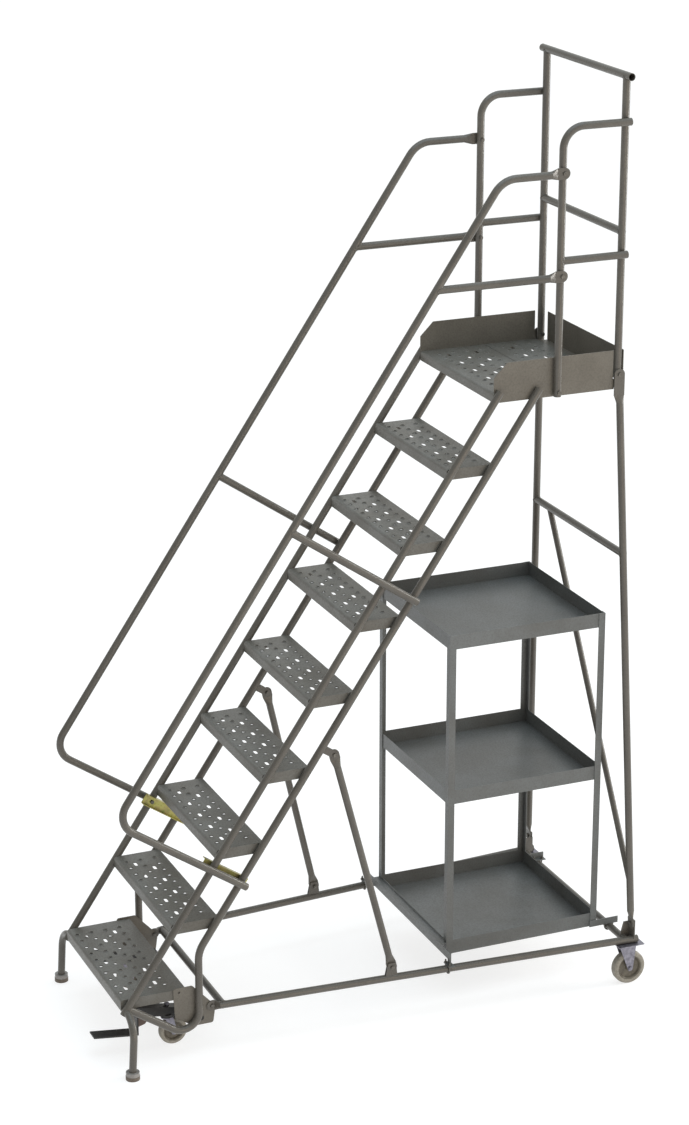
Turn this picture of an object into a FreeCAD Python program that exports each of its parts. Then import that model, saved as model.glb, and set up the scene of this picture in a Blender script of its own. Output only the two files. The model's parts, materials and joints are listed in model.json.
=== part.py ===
import FreeCAD, Part
import math
import os
import Sketcher
from FreeCAD import Placement, Rotation, Vector

# Mobile ladder stand: eight perforated treads and a guarded platform on a bent steel tube frame,
# a three-tray rack hung behind the ladder, two fixed wheels at the back, and a foot-pedal carriage
# at the front that pushes two swivel casters down to the floor.
#
# Axes: +X to the climber's right, +Y in the climbing direction, +Z up, floor at Z = 0.
# Dimensions along Y are counted from the front edge line of the stair (tread 1 before its nose);
# every sub-part's Placement then moves it by rowCentre, so the origin is the middle of the footprint.

os.makedirs("parts", exist_ok=True)
doc = FreeCAD.newDocument("mobile_ladder_stand")

# ---------------------------------------------------------------- driving dimensions (mm)
DIMENSIONS = [
    # stair
    ("rise", 254.0), ("going", 172.0), ("treadHalfWidth", 303.9), ("treadDepth", 174.0),
    ("treadHeight", 38.0), ("sheet", 2.0), ("firstTreadNose", 17.0), ("firstTreadDepth", 239.0),
    ("noseRadius", 10.0), ("holePitch", 54.0), ("holeRadius", 6.2), ("slotHalfLength", 14.5),
    ("slotRadius", 6.0), ("firstHoleRow", 25.0),
    # tube frame
    ("tubeOuter", 26.7), ("tubeWall", 1.8), ("strutOuter", 25.4), ("braceOuter", 22.2),
    ("stringerHalf", 317.5),
    ("frontStringerY", 19.1), ("rearStringerY", 170.4), ("bendRadius", 75.0),
    ("footHalf", 401.0), ("footY", -13.6), ("footPad", 50.0), ("footPadHeight", 28.0),
    # handrails and guards
    ("handrailHalf", 344.3), ("handrailOffsetY", -501.3), ("handrailTop", 3030.0),
    ("handrailMid", 2676.6), ("handrailLow", 942.7), ("postY", 1613.5), ("guardHalf", 319.0),
    ("guardTop", 3183.7), ("guardMid", 2726.9), ("guardFoot", 2251.0), ("rearPostHalf", 296.0),
    ("rearPostY", 1858.0), ("rearBarTop", 3336.4), ("rearMidBar", 2803.0), ("rearBarHalf", 332.0),
    # platform
    ("platformTop", 2282.0), ("platformFront", 1378.0), ("platformSeam", 1631.0),
    ("platformRear", 1840.0), ("platformHalf", 301.0), ("kickTop", 2387.0), ("kickSheet", 2.5),
    # base, legs and braces
    ("baseZ", 172.4), ("baseHalfAtZero", 294.6), ("baseSplay", 0.07),
    ("baseRear", 1940.0), ("legTopHalf", 309.2), ("legTopY", 1863.6), ("legFootHalf", 424.3),
    ("legFootY", 1918.2), ("braceZ", 1648.6), ("strutTopY", 779.0), ("strutTopZ", 1054.0),
    ("strutFootY", 983.0), ("strutFootZ", 215.0),
    # tray rack
    ("trayHalf", 301.8), ("trayFront", 1228.0), ("trayRear", 1833.0), ("trayRim", 53.0),
    ("traySheet", 1.5), ("trayBottomTop", 1367.4), ("trayBottomMiddle", 777.4),
    ("trayBottomLow", 187.3), ("angleLeg", 25.0), ("angleWall", 3.0),
    # wheels
    ("rearWheelRadius", 63.5), ("rearWheelWidth", 32.0), ("rearWheelHalf", 428.0),
    ("rearWheelY", 1908.0), ("frontWheelRadius", 50.8), ("frontWheelWidth", 30.0),
    ("casterHalf", 228.0), ("casterY", 176.0), ("casterTrail", 20.0), ("casterLift", 12.0),
    ("axleRadius", 5.0), ("axlePlay", 0.05),
    # pedal carriage
    ("pivotY", 278.0), ("pivotZ", 128.0), ("pivotShaft", 19.0), ("pedalTipY", -89.0),
    ("pedalTipZ", 81.5), ("pedalWidth", 50.0), ("pedalHalf", 186.0), ("barThickness", 6.0),
    ("rowCentre", 941.25),
]

sheet = doc.addObject("Spreadsheet::Sheet", "Dimensions")
for row, (alias, value) in enumerate(DIMENSIONS, start=1):
    sheet.set("A%d" % row, alias)
    sheet.set("B%d" % row, str(value))
    sheet.setAlias("B%d" % row, alias)
doc.recompute()


def size(alias):
    """A driving dimension, read from the sheet."""
    return float(sheet.get(alias))


def cell(alias):
    """The same dimension as an expression term."""
    return "Dimensions." + alias


SUBPARTS = []


def keep(obj, label):
    """Register a finished sub-part: its Label names the node, its Placement centres the footprint."""
    obj.Label = label
    obj.setExpression("Placement.Base.y", "-" + cell("rowCentre"))
    SUBPARTS.append(obj)
    return obj


def internal(name):
    """A legal object name that says it is a construction step."""
    return "step_" + name


# ---------------------------------------------------------------- geometry helpers
def bent_path(points, radius):
    """Straight runs joined by tangent arcs; the radius may be one number or one per corner."""
    radii = radius if isinstance(radius, list) else [radius] * (len(points) - 2)
    edges = []
    start = points[0]
    for index, corner in enumerate(points[1:-1]):
        before = (points[index] - corner).normalize()
        after = (points[index + 2] - corner).normalize()
        half = before.getAngle(after) / 2
        setback = radii[index] / math.tan(half)
        first = corner + before * setback
        last = corner + after * setback
        middle_direction = (before + after).normalize()
        centre_distance = radii[index] / math.sin(half)
        middle = corner + middle_direction * (centre_distance - radii[index])
        edges.append(Part.LineSegment(start, first).toShape())
        edges.append(Part.Arc(first, middle, last).toShape())
        start = last
    edges.append(Part.LineSegment(start, points[-1]).toShape())
    return Part.Wire(edges)


def facing(direction):
    """Placement rotation that turns +Z onto a direction."""
    return Rotation(Vector(0, 0, 1), direction)


def round_bar(name, start, end, radius_expression):
    """Solid straight bar as a cylinder whose radius follows the sheet."""
    bar = doc.addObject("Part::Cylinder", internal(name))
    bar.setExpression("Radius", radius_expression)
    bar.Height = (end - start).Length
    bar.Placement = Placement(start, facing(end - start))
    return bar


def swept_bar(name, path, start, direction, radius_expression):
    """Solid bent bar: a circle bound to the sheet, swept along the path."""
    spine = doc.addObject("Part::Feature", internal(name + "_path"))
    spine.Shape = path
    circle = doc.addObject("Part::Circle", internal(name + "_section"))
    circle.setExpression("Radius", radius_expression)
    circle.Placement = Placement(start, facing(direction))
    doc.recompute()
    sweep = doc.addObject("Part::Sweep", internal(name))
    sweep.Sections = [circle]
    sweep.Spine = (spine, ["Edge%d" % (i + 1) for i in range(len(path.Edges))])
    sweep.Solid = True
    sweep.Frenet = False
    return sweep


def cut(name, base, tools):
    """Boolean difference; several tools are fused first."""
    result = base
    for index, tool in enumerate(tools):
        step = doc.addObject("Part::Cut", internal("%s_cut%d" % (name, index)))
        step.Base = result
        step.Tool = tool
        result = step
    return result


def fuse(name, pieces):
    """Boolean union."""
    union = doc.addObject("Part::MultiFuse", internal(name))
    union.Shapes = pieces
    return union


OUTER = "tubeOuter"
TONGUE_THICKNESS = 4.0
BOLT_HOLE = 4.5


def tube(name, points, radius=None, outer=OUTER):
    """Hollow tube along points. Returns (hollow tube, solid outer bar for coping other tubes)."""
    outer_radius = cell(outer) + " / 2"
    inner_radius = cell(outer) + " / 2 - " + cell("tubeWall")
    if len(points) == 2:
        skin = round_bar(name + "_outer", points[0], points[1], outer_radius)
        bore = round_bar(name + "_bore", points[0], points[1], inner_radius)
    else:
        path = bent_path(points, radius)
        direction = points[1] - points[0]
        skin = swept_bar(name + "_outer", path, points[0], direction, outer_radius)
        bore = swept_bar(name + "_bore", path, points[0], direction, inner_radius)
    return cut(name, skin, [bore]), skin


def flat_end(name, throat, along, normal, flat_length, offset=Vector(), outer=OUTER, throat_length=29.0):
    """Crushed and drilled tube end: a round throat lofted into a flat, round-tipped tongue.

    The tongue's plane is square to normal; offset sets the tongue to one side of the tube's axis.
    Returns the end and the centre of its bolt hole.
    """
    radius = size(outer) / 2
    half_width = radius * 1.5
    half_thickness = TONGUE_THICKNESS / 2
    along = Vector(along).normalize()
    normal = Vector(normal).normalize()
    side = along.cross(normal)
    shoulder = throat + along * throat_length + offset
    tip = shoulder + along * flat_length

    def ring(centre, width, thickness):
        ellipse = Part.Ellipse(centre + side * width, centre + normal * thickness, centre)
        return Part.Wire(ellipse.toShape())

    rings = [ring(throat, radius - 0.2, radius - 0.21), ring(shoulder, half_width, half_thickness)]
    loft = Part.makeLoft(rings, True)
    corners = [shoulder + side * (a * half_width) + normal * (b * half_thickness)
               for a, b in ((-1, -1), (1, -1), (1, 1), (-1, 1))]
    tongue = Part.Face(Part.makePolygon(corners + [corners[0]])).extrude(tip - shoulder)
    tip_round = Part.makeCylinder(half_width, TONGUE_THICKNESS, tip - normal * half_thickness, normal)
    hole = Part.makeCylinder(BOLT_HOLE, 4 * TONGUE_THICKNESS, tip - normal * 2 * TONGUE_THICKNESS, normal)
    end = doc.addObject("Part::Feature", internal(name))
    end.Shape = loft.fuse([tongue, tip_round]).removeSplitter().cut(hole)
    return end, tip


def role_plane(body, role):
    """One of a body's own origin planes."""
    return next(item for item in body.Origin.OriginFeatures if item.Role == role)


def sketch_on(body, role, offset=0.0):
    """An empty sketch on a plane of the body, moved along the plane's normal."""
    sketch = body.newObject("Sketcher::SketchObject", "Sketch")
    sketch.AttachmentSupport = [(role_plane(body, role), "")]
    sketch.MapMode = "FlatFace"
    sketch.AttachmentOffset = Placement(Vector(0, 0, offset), Rotation())
    return sketch


def add_outline(sketch, corners, radius=0.0):
    """A closed polygon; with a radius its corners become tangent arcs."""
    points = [Vector(u, v, 0) for u, v in corners]
    count = len(points)
    if not radius:
        for index in range(count):
            sketch.addGeometry(Part.LineSegment(points[index], points[(index + 1) % count]))
        return
    ends = []
    for index, corner in enumerate(points):
        before = (points[index - 1] - corner).normalize()
        after = (points[(index + 1) % count] - corner).normalize()
        half = before.getAngle(after) / 2
        first = corner + before * (radius / math.tan(half))
        last = corner + after * (radius / math.tan(half))
        inward = (before + after).normalize()
        middle = corner + inward * (radius / math.sin(half) - radius)
        sketch.addGeometry(Part.Arc(first, middle, last))
        ends.append((first, last))
    for index in range(count):
        sketch.addGeometry(Part.LineSegment(ends[index][1], ends[(index + 1) % count][0]))


def add_circle(sketch, u, v, radius):
    sketch.addGeometry(Part.Circle(Vector(u, v, 0), Vector(0, 0, 1), radius))


def add_slot(sketch, u, v, half_length, radius):
    """A hole with round ends, long along the sketch's first axis."""
    straight = half_length - radius
    for edge_v in (v + radius, v - radius):
        from_left = Vector(u - straight, edge_v, 0)
        sketch.addGeometry(Part.LineSegment(from_left, Vector(u + straight, edge_v, 0)))
    right = Part.Circle(Vector(u + straight, v, 0), Vector(0, 0, 1), radius)
    left = Part.Circle(Vector(u - straight, v, 0), Vector(0, 0, 1), radius)
    sketch.addGeometry(Part.ArcOfCircle(right, -math.pi / 2, math.pi / 2))
    sketch.addGeometry(Part.ArcOfCircle(left, math.pi / 2, 3 * math.pi / 2))


def pad(body, sketch, length_expression, midplane=False):
    feature = body.newObject("PartDesign::Pad", "Pad")
    feature.Profile = sketch
    feature.setExpression("Length", length_expression)
    feature.Midplane = midplane
    return feature


def pocket(body, sketch, length_expression, reverse=False):
    feature = body.newObject("PartDesign::Pocket", "Pocket")
    feature.Profile = sketch
    feature.setExpression("Length", length_expression)
    feature.Reversed = reverse
    return feature


def drill(name, centre, axis, half_length, radius=4.5):
    """A cylinder used as a drilling tool."""
    axis = Vector(axis).normalize()
    return round_bar(name, centre - axis * half_length, centre + axis * half_length, "%s mm" % radius)


def plate(name, role, offset, outline, thickness_expression, holes=(), hole_radius=BOLT_HOLE, radius=0.0):
    """A flat plate: an outline on one of the body's planes, padded along the plane's normal."""
    body = doc.addObject("PartDesign::Body", name)
    sketch = sketch_on(body, role, offset)
    add_outline(sketch, outline, radius)
    for u, v in holes:
        add_circle(sketch, u, v, hole_radius)
    body.Tip = pad(body, sketch, thickness_expression)
    return body


def box(name, low, high):
    """A plain block between two corners."""
    block = doc.addObject("Part::Box", internal(name))
    block.Length = high.x - low.x
    block.Width = high.y - low.y
    block.Height = high.z - low.z
    block.Placement.Base = low
    return block


# ---------------------------------------------------------------- values worked out from the sheet
RISE = size("rise")
GOING = size("going")
LEAN = GOING / RISE
SLOPE = Vector(0, GOING, RISE).normalize()
ACROSS = Vector(0, SLOPE.z, -SLOPE.y)
TUBE = size("tubeOuter") / 2
SIDES = (("left", -1), ("right", 1))


def front_stringer_y(z):
    return size("frontStringerY") + (z - RISE) * LEAN


def rear_stringer_y(z):
    return size("rearStringerY") + (z - RISE) * LEAN


def handrail_y(z):
    return size("handrailOffsetY") + (z - RISE) * LEAN


def base_x(y):
    return size("baseHalfAtZero") + size("baseSplay") * y


def leg_point(z, side):
    """A point on a rear leg's axis; the legs spread as they go down."""
    share = (2200.0 - z) / 2000.0
    x = size("legTopHalf") + share * (size("legFootHalf") - size("legTopHalf"))
    y = size("legTopY") + share * (size("legFootY") - size("legTopY"))
    return Vector(side * x, y, z)


# ---------------------------------------------------------------- front leg tube and feet
FOOT_TOP = size("footPadHeight")
CROSS_Z = 215.0
CROSS_Y = -2.5


def foot_point(side):
    return Vector(side * size("footHalf"), size("footY"), FOOT_TOP - 8.0)


leg_points = [
    foot_point(-1),
    Vector(-size("footHalf"), CROSS_Y, CROSS_Z),
    Vector(size("footHalf"), CROSS_Y, CROSS_Z),
    foot_point(1),
]
front_leg, front_leg_bar = tube("front_leg", leg_points, size("bendRadius"))
keep(front_leg, "front_leg_tube")


def foot_solids(name, radius, low, high, bore):
    """A pair of round foot pieces, one under each end of the front leg tube."""
    pieces = []
    for tag, side in SIDES:
        base = Vector(side * size("footHalf"), size("footY"), low)
        disc = round_bar("%s_%s" % (name, tag), base, base + Vector(0, 0, high - low), radius)
        if bore:
            disc = cut("%s_%s" % (name, tag), disc, [front_leg_bar])
        pieces.append(disc)
    return fuse(name, pieces)


PAD_RUBBER_TOP = 14.0
keep(foot_solids("foot_pads", cell("footPad") + " / 2", 0.0, PAD_RUBBER_TOP, False), "foot_pads")
keep(foot_solids("foot_caps", cell("footPad") + " / 2 - 1", PAD_RUBBER_TOP, FOOT_TOP, True), "foot_caps")

# ---------------------------------------------------------------- stringers
STRINGER_TOP_FRONT = 2290.0
STRINGER_TOP_REAR = 2286.0
STRINGER_KNEE = 395.0
TIE_START = Vector(0, 16.0, 217.0)
stringer_bars = {}
for tag, side in SIDES:
    x = side * size("stringerHalf")
    knee_y = rear_stringer_y(STRINGER_KNEE)
    drop = (knee_y - TIE_START.y) / ACROSS.y
    heel = Vector(x, knee_y, TIE_START.z + ACROSS.z * drop)
    rear_points = [
        Vector(x, rear_stringer_y(STRINGER_TOP_REAR), STRINGER_TOP_REAR),
        Vector(x, knee_y, STRINGER_KNEE),
        heel,
        Vector(x, TIE_START.y - 20 * ACROSS.y, TIE_START.z - 20 * ACROSS.z),
    ]
    rear, rear_bar = tube("rear_stringer_" + tag, rear_points, [110.0, 63.0])
    front_points = [
        Vector(x, front_stringer_y(STRINGER_TOP_FRONT), STRINGER_TOP_FRONT),
        Vector(x, front_stringer_y(205.0), 205.0),
    ]
    front, front_bar = tube("front_stringer_" + tag, front_points)
    tie_bolts = []
    for reach, y0 in (("front", front_stringer_y), ("rear", rear_stringer_y)):
        # lower end of the handrail crosses both stringers and is bolted through them
        z = 701.0 if reach == "front" else 631.0
        tie_bolts.append(drill("tie_%s_%s" % (reach, tag), Vector(x, y0(z), z), (1, 0, 0), 60))
    rear = cut("rear_stringer_" + tag, rear, [front_leg_bar, tie_bolts[1]])
    front = cut("front_stringer_" + tag, front, [front_leg_bar, rear_bar, tie_bolts[0]])
    keep(rear, "rear_stringer_" + tag)
    keep(front, "front_stringer_" + tag)
    stringer_bars[tag] = (front_bar, rear_bar)

# ---------------------------------------------------------------- treads
PITCH = size("holePitch")


def perforation(sketch, first_row, rows, flip=False):
    """Rows of ten round holes with staggered slots between them; rows counted along Y."""
    for row in range(rows):
        y = first_row + row * PITCH
        for column in range(10):
            add_circle(sketch, (column - 4.5) * PITCH, y, size("holeRadius"))
    for row in range(rows - 1):
        y = first_row + (row + 0.5) * PITCH
        wide = (row % 2 == 0) != flip
        count = 5 if wide else 4
        for column in range(count):
            x = (column - (count - 1) / 2) * 2 * PITCH
            add_slot(sketch, x, y, size("slotHalfLength"), size("slotRadius"))


def folded_pan(name, front_y, depth, top_z, half_width, height, open_up=False):
    """A sheet pan folded down on all four sides (or up, for a tray)."""
    body = doc.addObject("PartDesign::Body", name)
    low = top_z - height
    wall = size("traySheet") if open_up else size("sheet")

    def rectangle(sketch, inset):
        left, right = inset - half_width, half_width - inset
        near, far = front_y + inset, front_y + depth - inset
        add_outline(sketch, [(left, near), (right, near), (right, far), (left, far)])

    outer = sketch_on(body, "XY_Plane", low)
    rectangle(outer, 0)
    pad(body, outer, "%s mm" % height)
    inner = sketch_on(body, "XY_Plane", low + wall if open_up else low)
    rectangle(inner, wall)
    body.Tip = pocket(body, inner, "%s mm" % (height - wall), reverse=True)
    return body


def perforate(body, first_row, rows, top_z, flip=False):
    holes = sketch_on(body, "XY_Plane", top_z)
    perforation(holes, first_row, rows, flip)
    body.Tip = pocket(body, holes, cell("sheet") + " * 2")


def round_nose(body, front_y, top_z):
    """The folded front edge of a tread is rounded: first inside the sheet, then outside it."""
    wall = size("sheet")
    inner_radius = cell("noseRadius") + " - " + cell("sheet")
    for inset, radius_expression in ((wall, inner_radius), (0.0, cell("noseRadius"))):
        doc.recompute()
        folded = body.Tip
        on_fold = [
            "Edge%d" % (index + 1) for index, edge in enumerate(body.Shape.Edges)
            if edge.Length > 400 and abs(edge.CenterOfMass.y - front_y - inset) < 0.1
            and abs(edge.CenterOfMass.z - top_z + inset) < 0.1
        ]
        if len(on_fold) != 1:
            raise RuntimeError("no nose edge on " + body.Name)
        fillet = body.newObject("PartDesign::Fillet", "Fillet")
        fillet.Base = (folded, on_fold)
        fillet.setExpression("Radius", radius_expression)
        body.Tip = fillet


nose = -size("firstTreadNose")
first_tread = folded_pan("first_tread", nose, size("firstTreadDepth"), RISE, 299.9, size("treadHeight"))
round_nose(first_tread, nose, RISE)
perforate(first_tread, nose + 20.0, 4, RISE)
doc.recompute()
keep(cut("tread_1", first_tread, [front_leg_bar]), "tread_1")
for number in range(2, 9):
    front_y = (number - 1) * GOING
    top_z = number * RISE
    tread = folded_pan("tread_%d" % number, front_y, size("treadDepth"), top_z,
                       size("treadHalfWidth"), size("treadHeight"))
    round_nose(tread, front_y, top_z)
    perforate(tread, front_y + size("firstHoleRow"), 3, top_z)
    keep(tread, "tread_%d" % number)

# ---------------------------------------------------------------- platform
TOP = size("platformTop")
FRONT = size("platformFront")
SEAM = size("platformSeam")
REAR = size("platformRear")
HALF = size("platformHalf")
PANEL_HEIGHT = 30.0
SEAM_GAP = 2.0
GUARD_BOLT_Z = 2268.0
panels = (
    ("platform_panel_front", FRONT, SEAM - SEAM_GAP / 2, FRONT + 47.0, 4),
    ("platform_panel_rear", SEAM + SEAM_GAP / 2, REAR, SEAM + 46.0, 3),
)
for name, y0, y1, first_row, rows in panels:
    panel = folded_pan(name + "_sheet", y0, y1 - y0, TOP, HALF - 0.3, PANEL_HEIGHT)
    if y0 == FRONT:
        round_nose(panel, y0, TOP)
    perforate(panel, first_row, rows, TOP)
    doc.recompute()
    if y0 == FRONT:
        bolt_line = Vector(0, size("postY"), GUARD_BOLT_Z)
        panel = cut(name, panel, [drill("panel_hole", bolt_line, (1, 0, 0), HALF)])
    keep(panel, name)

# angle-iron ring that carries the panels, on the outside of them and just below the kick plates
FRAME_LOW = 2248.0
FRAME_HIGH = 2285.0
FRAME_WALL = 3.0
FRAME_LEDGE = 25.0
frame_pieces = []
frame_holes = []
for tag, side in SIDES:
    web_low, web_high = sorted((side * HALF, side * (HALF + FRAME_WALL)))
    ledge_low, ledge_high = sorted((side * HALF, side * (HALF - FRAME_LEDGE)))
    frame_pieces.append(box("frame_web_" + tag, Vector(web_low, FRONT + 2, FRAME_LOW),
                            Vector(web_high, REAR, FRAME_HIGH)))
    frame_pieces.append(box("frame_ledge_" + tag, Vector(ledge_low, FRONT + 2, FRAME_LOW),
                            Vector(ledge_high, REAR, FRAME_LOW + FRAME_WALL)))
    bolt_place = Vector(side * HALF, size("postY"), GUARD_BOLT_Z)
    frame_holes.append(drill("frame_hole_" + tag, bolt_place, (1, 0, 0), 10))
for index, y in enumerate((FRONT + 2, SEAM - FRAME_LEDGE / 2, REAR - FRAME_LEDGE)):
    frame_pieces.append(box("frame_rail_%d" % index, Vector(-HALF, y, FRAME_LOW),
                            Vector(HALF, y + FRAME_LEDGE, FRAME_LOW + FRAME_WALL)))
keep(cut("platform_frame", fuse("platform_frame", frame_pieces), frame_holes), "platform_frame")

# kick plates: a folded sheet along each side and one across the back
KICK_LOW = FRAME_HIGH
KICK_SLANT = 50.0
for tag, side in SIDES:
    outline = [
        (FRONT, KICK_LOW), (REAR - 4, KICK_LOW), (REAR - 4, size("kickTop")),
        (FRONT + KICK_SLANT, size("kickTop")), (FRONT, size("kickTop") - KICK_SLANT),
    ]
    x0 = HALF + 0.5 if side > 0 else -HALF - 0.5 - size("kickSheet")
    keep(plate("kick_" + tag, "YZ_Plane", x0, outline, cell("kickSheet")), "kick_plate_" + tag)
BACK_Y = size("rearPostY") + TUBE
BACK_LEFT = -271.0
BACK_RIGHT = 308.0
back_outline = [
    (BACK_LEFT, KICK_LOW - 10), (BACK_RIGHT, KICK_LOW - 10),
    (BACK_RIGHT, size("kickTop")), (BACK_LEFT, size("kickTop")),
]
# the XZ plane's normal is -Y, so a plate that starts at BACK_Y is drawn one sheet further back
back_plane = -(BACK_Y + size("kickSheet"))
back_sheet = plate("kick_rear", "XZ_Plane", back_plane, back_outline, cell("kickSheet"))
# a shelf folded forward between the two posts closes the gap behind the rear panel
SHELF_RIGHT = 271.0
shelf = box("kick_rear_shelf", Vector(BACK_LEFT, REAR + 0.3, TOP - size("kickSheet")),
            Vector(SHELF_RIGHT, BACK_Y + size("kickSheet") / 2, TOP))
keep(fuse("kick_plate_rear", [back_sheet, shelf]), "kick_plate_rear")

# ---------------------------------------------------------------- guard posts, rails and bars
GUARD_HALF = size("guardHalf")
POST_Y = size("postY")
REAR_POST_Y = size("rearPostY")
POST_HALF = size("rearPostHalf")
RAIL_END = REAR_POST_Y + 10.0
LEG_BOLT_Z = 2301.0
top_bar_line = [Vector(-size("rearBarHalf"), REAR_POST_Y, size("rearBarTop")),
                Vector(size("rearBarHalf"), REAR_POST_Y, size("rearBarTop"))]
mid_bar_line = [Vector(-POST_HALF, REAR_POST_Y, size("rearMidBar")),
                Vector(POST_HALF, REAR_POST_Y, size("rearMidBar"))]
top_bar, top_bar_solid = tube("rear_top_bar", top_bar_line)
post_bars = {}
for tag, side in SIDES:
    post_line = [Vector(side * POST_HALF, REAR_POST_Y, size("guardFoot")),
                 Vector(side * POST_HALF, REAR_POST_Y, size("rearBarTop"))]
    post, post_bar = tube("rear_post_" + tag, post_line)
    post_bars[tag] = post_bar
    leg_hole = drill("leg_hole_" + tag, Vector(side * POST_HALF, REAR_POST_Y, LEG_BOLT_Z), (1, 0, 0), 40)
    keep(cut("rear_post_" + tag, post, [top_bar_solid, leg_hole]), "rear_post_" + tag)
keep(top_bar, "rear_top_bar")
mid_bar, _ = tube("rear_mid_bar", mid_bar_line)
keep(cut("rear_mid_bar", mid_bar, [post_bars["left"], post_bars["right"]]), "rear_mid_bar")

mid_rails = []
guard_bars = {}
for tag, side in SIDES:
    x = side * GUARD_HALF
    rail_points = [Vector(x, POST_Y, size("guardFoot")), Vector(x, POST_Y, size("guardTop")),
                   Vector(x, RAIL_END, size("guardTop"))]
    rail, guard_bars[tag] = tube("guard_rail_" + tag, rail_points, size("bendRadius"))
    bolt_holes = [drill("guard_hole_%s_%d" % (tag, z), Vector(x, POST_Y, z), (1, 0, 0), 40)
                  for z in (GUARD_BOLT_Z, size("handrailMid"), size("handrailTop"))]
    keep(cut("guard_rail_" + tag, rail, [post_bars[tag]] + bolt_holes), "guard_rail_" + tag)
    mid_line = [Vector(x, POST_Y, size("guardMid")), Vector(x, RAIL_END, size("guardMid"))]
    mid, _ = tube("guard_mid_" + tag, mid_line)
    mid_rails.append(cut("guard_mid_" + tag, mid, [guard_bars[tag], post_bars[tag]]))
keep(fuse("guard_mid_rails", mid_rails), "guard_mid_rails")

# ---------------------------------------------------------------- handrails
TONGUE = 26.0
tie_rails = []
mid_handrails = []
for tag, side in SIDES:
    x = side * size("handrailHalf")
    top = size("handrailTop")
    low = size("handrailLow")
    tongue_start = POST_Y - 29.0 - TONGUE
    tip = Vector(x, handrail_y(low), low) + ACROSS * 570.0
    rail_points = [
        Vector(x, tongue_start, top),
        Vector(x, handrail_y(top), top),
        Vector(x, handrail_y(low), low),
        tip,
    ]
    rail, rail_bar = tube("handrail_" + tag, rail_points, [95.0, 75.0])
    inner_wall = side * (size("handrailHalf") - TUBE)
    holes = [drill("handrail_hole_%s_%d" % (tag, z), Vector(inner_wall, y0(z), z), (1, 0, 0), 8)
             for z, y0 in ((701.0, front_stringer_y), (631.0, rear_stringer_y))]
    rail = cut("handrail_" + tag, rail, holes)
    tongue_plane = GUARD_HALF + TUBE + TONGUE_THICKNESS / 2 + 0.1
    tongue_shift = Vector(side * (tongue_plane - size("handrailHalf")), 0, 0)
    end, _ = flat_end("handrail_end_" + tag, Vector(x, tongue_start, top), (0, 1, 0), (1, 0, 0), TONGUE,
                      tongue_shift)
    keep(fuse("handrail_" + tag, [rail, end]), "handrail_" + tag)

    mid_z = size("handrailMid")
    mid_end = Vector(x, tongue_start, mid_z)
    mid, _ = tube("handrail_mid_" + tag, [Vector(x, handrail_y(mid_z), mid_z), mid_end])
    mid = cut("handrail_mid_" + tag, mid, [rail_bar])
    end, _ = flat_end("handrail_mid_end_" + tag, mid_end, (0, 1, 0), (1, 0, 0), TONGUE, tongue_shift)
    mid_handrails.append(fuse("handrail_mid_whole_" + tag, [mid, end]))

    tie_z = 1897.6
    tie_start = Vector(x, handrail_y(tie_z), tie_z)
    tie, _ = tube("handrail_tie_" + tag, [tie_start, tie_start + ACROSS * 565.0])
    tie_rails.append(cut("handrail_tie_" + tag, tie, [rail_bar]))
keep(fuse("handrail_mid_rails", mid_handrails), "handrail_mid_rails")
keep(fuse("handrail_ties", tie_rails), "handrail_ties")

# ---------------------------------------------------------------- handrail brackets
# A plated channel inside each pair of stringers backs the handrail's two lower bolts.
BRACKET_MIDDLE = Vector(0, 370.0, 669.0)
BRACKET_HALF_LENGTH = 95.0
BRACKET_HALF_DEPTH = 20.0
BRACKET_WALL = 2.5
INNER_FACE = size("stringerHalf") - TUBE
channels = []
for tag, side in SIDES:
    corners = [BRACKET_MIDDLE + ACROSS * (a * BRACKET_HALF_LENGTH) + SLOPE * (b * BRACKET_HALF_DEPTH)
               for a, b in ((-1, -1), (1, -1), (1, 1), (-1, 1))]
    inner_corners = [BRACKET_MIDDLE + ACROSS * (a * 2 * BRACKET_HALF_LENGTH)
                     + SLOPE * (b * (BRACKET_HALF_DEPTH - BRACKET_WALL))
                     for a, b in ((-1, -1), (1, -1), (1, 1), (-1, 1))]
    outer_low = INNER_FACE - 22.0 if side > 0 else -INNER_FACE
    block = plate("bracket_block_" + tag, "YZ_Plane", outer_low, [(c.y, c.z) for c in corners], "22 mm")
    inner_low = INNER_FACE - 30.0 if side > 0 else -INNER_FACE + BRACKET_WALL
    hollow = plate("bracket_hollow_" + tag, "YZ_Plane", inner_low, [(c.y, c.z) for c in inner_corners],
                   "%s mm" % (30.0 - BRACKET_WALL))
    bolt_holes = [drill("bracket_hole_%s_%d" % (tag, z), Vector(side * INNER_FACE, y0(z), z), (1, 0, 0), 8)
                  for z, y0 in ((701.0, front_stringer_y), (631.0, rear_stringer_y))]
    channels.append(cut("bracket_" + tag, block, [hollow] + bolt_holes))
keep(fuse("handrail_brackets", channels), "handrail_brackets")

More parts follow.
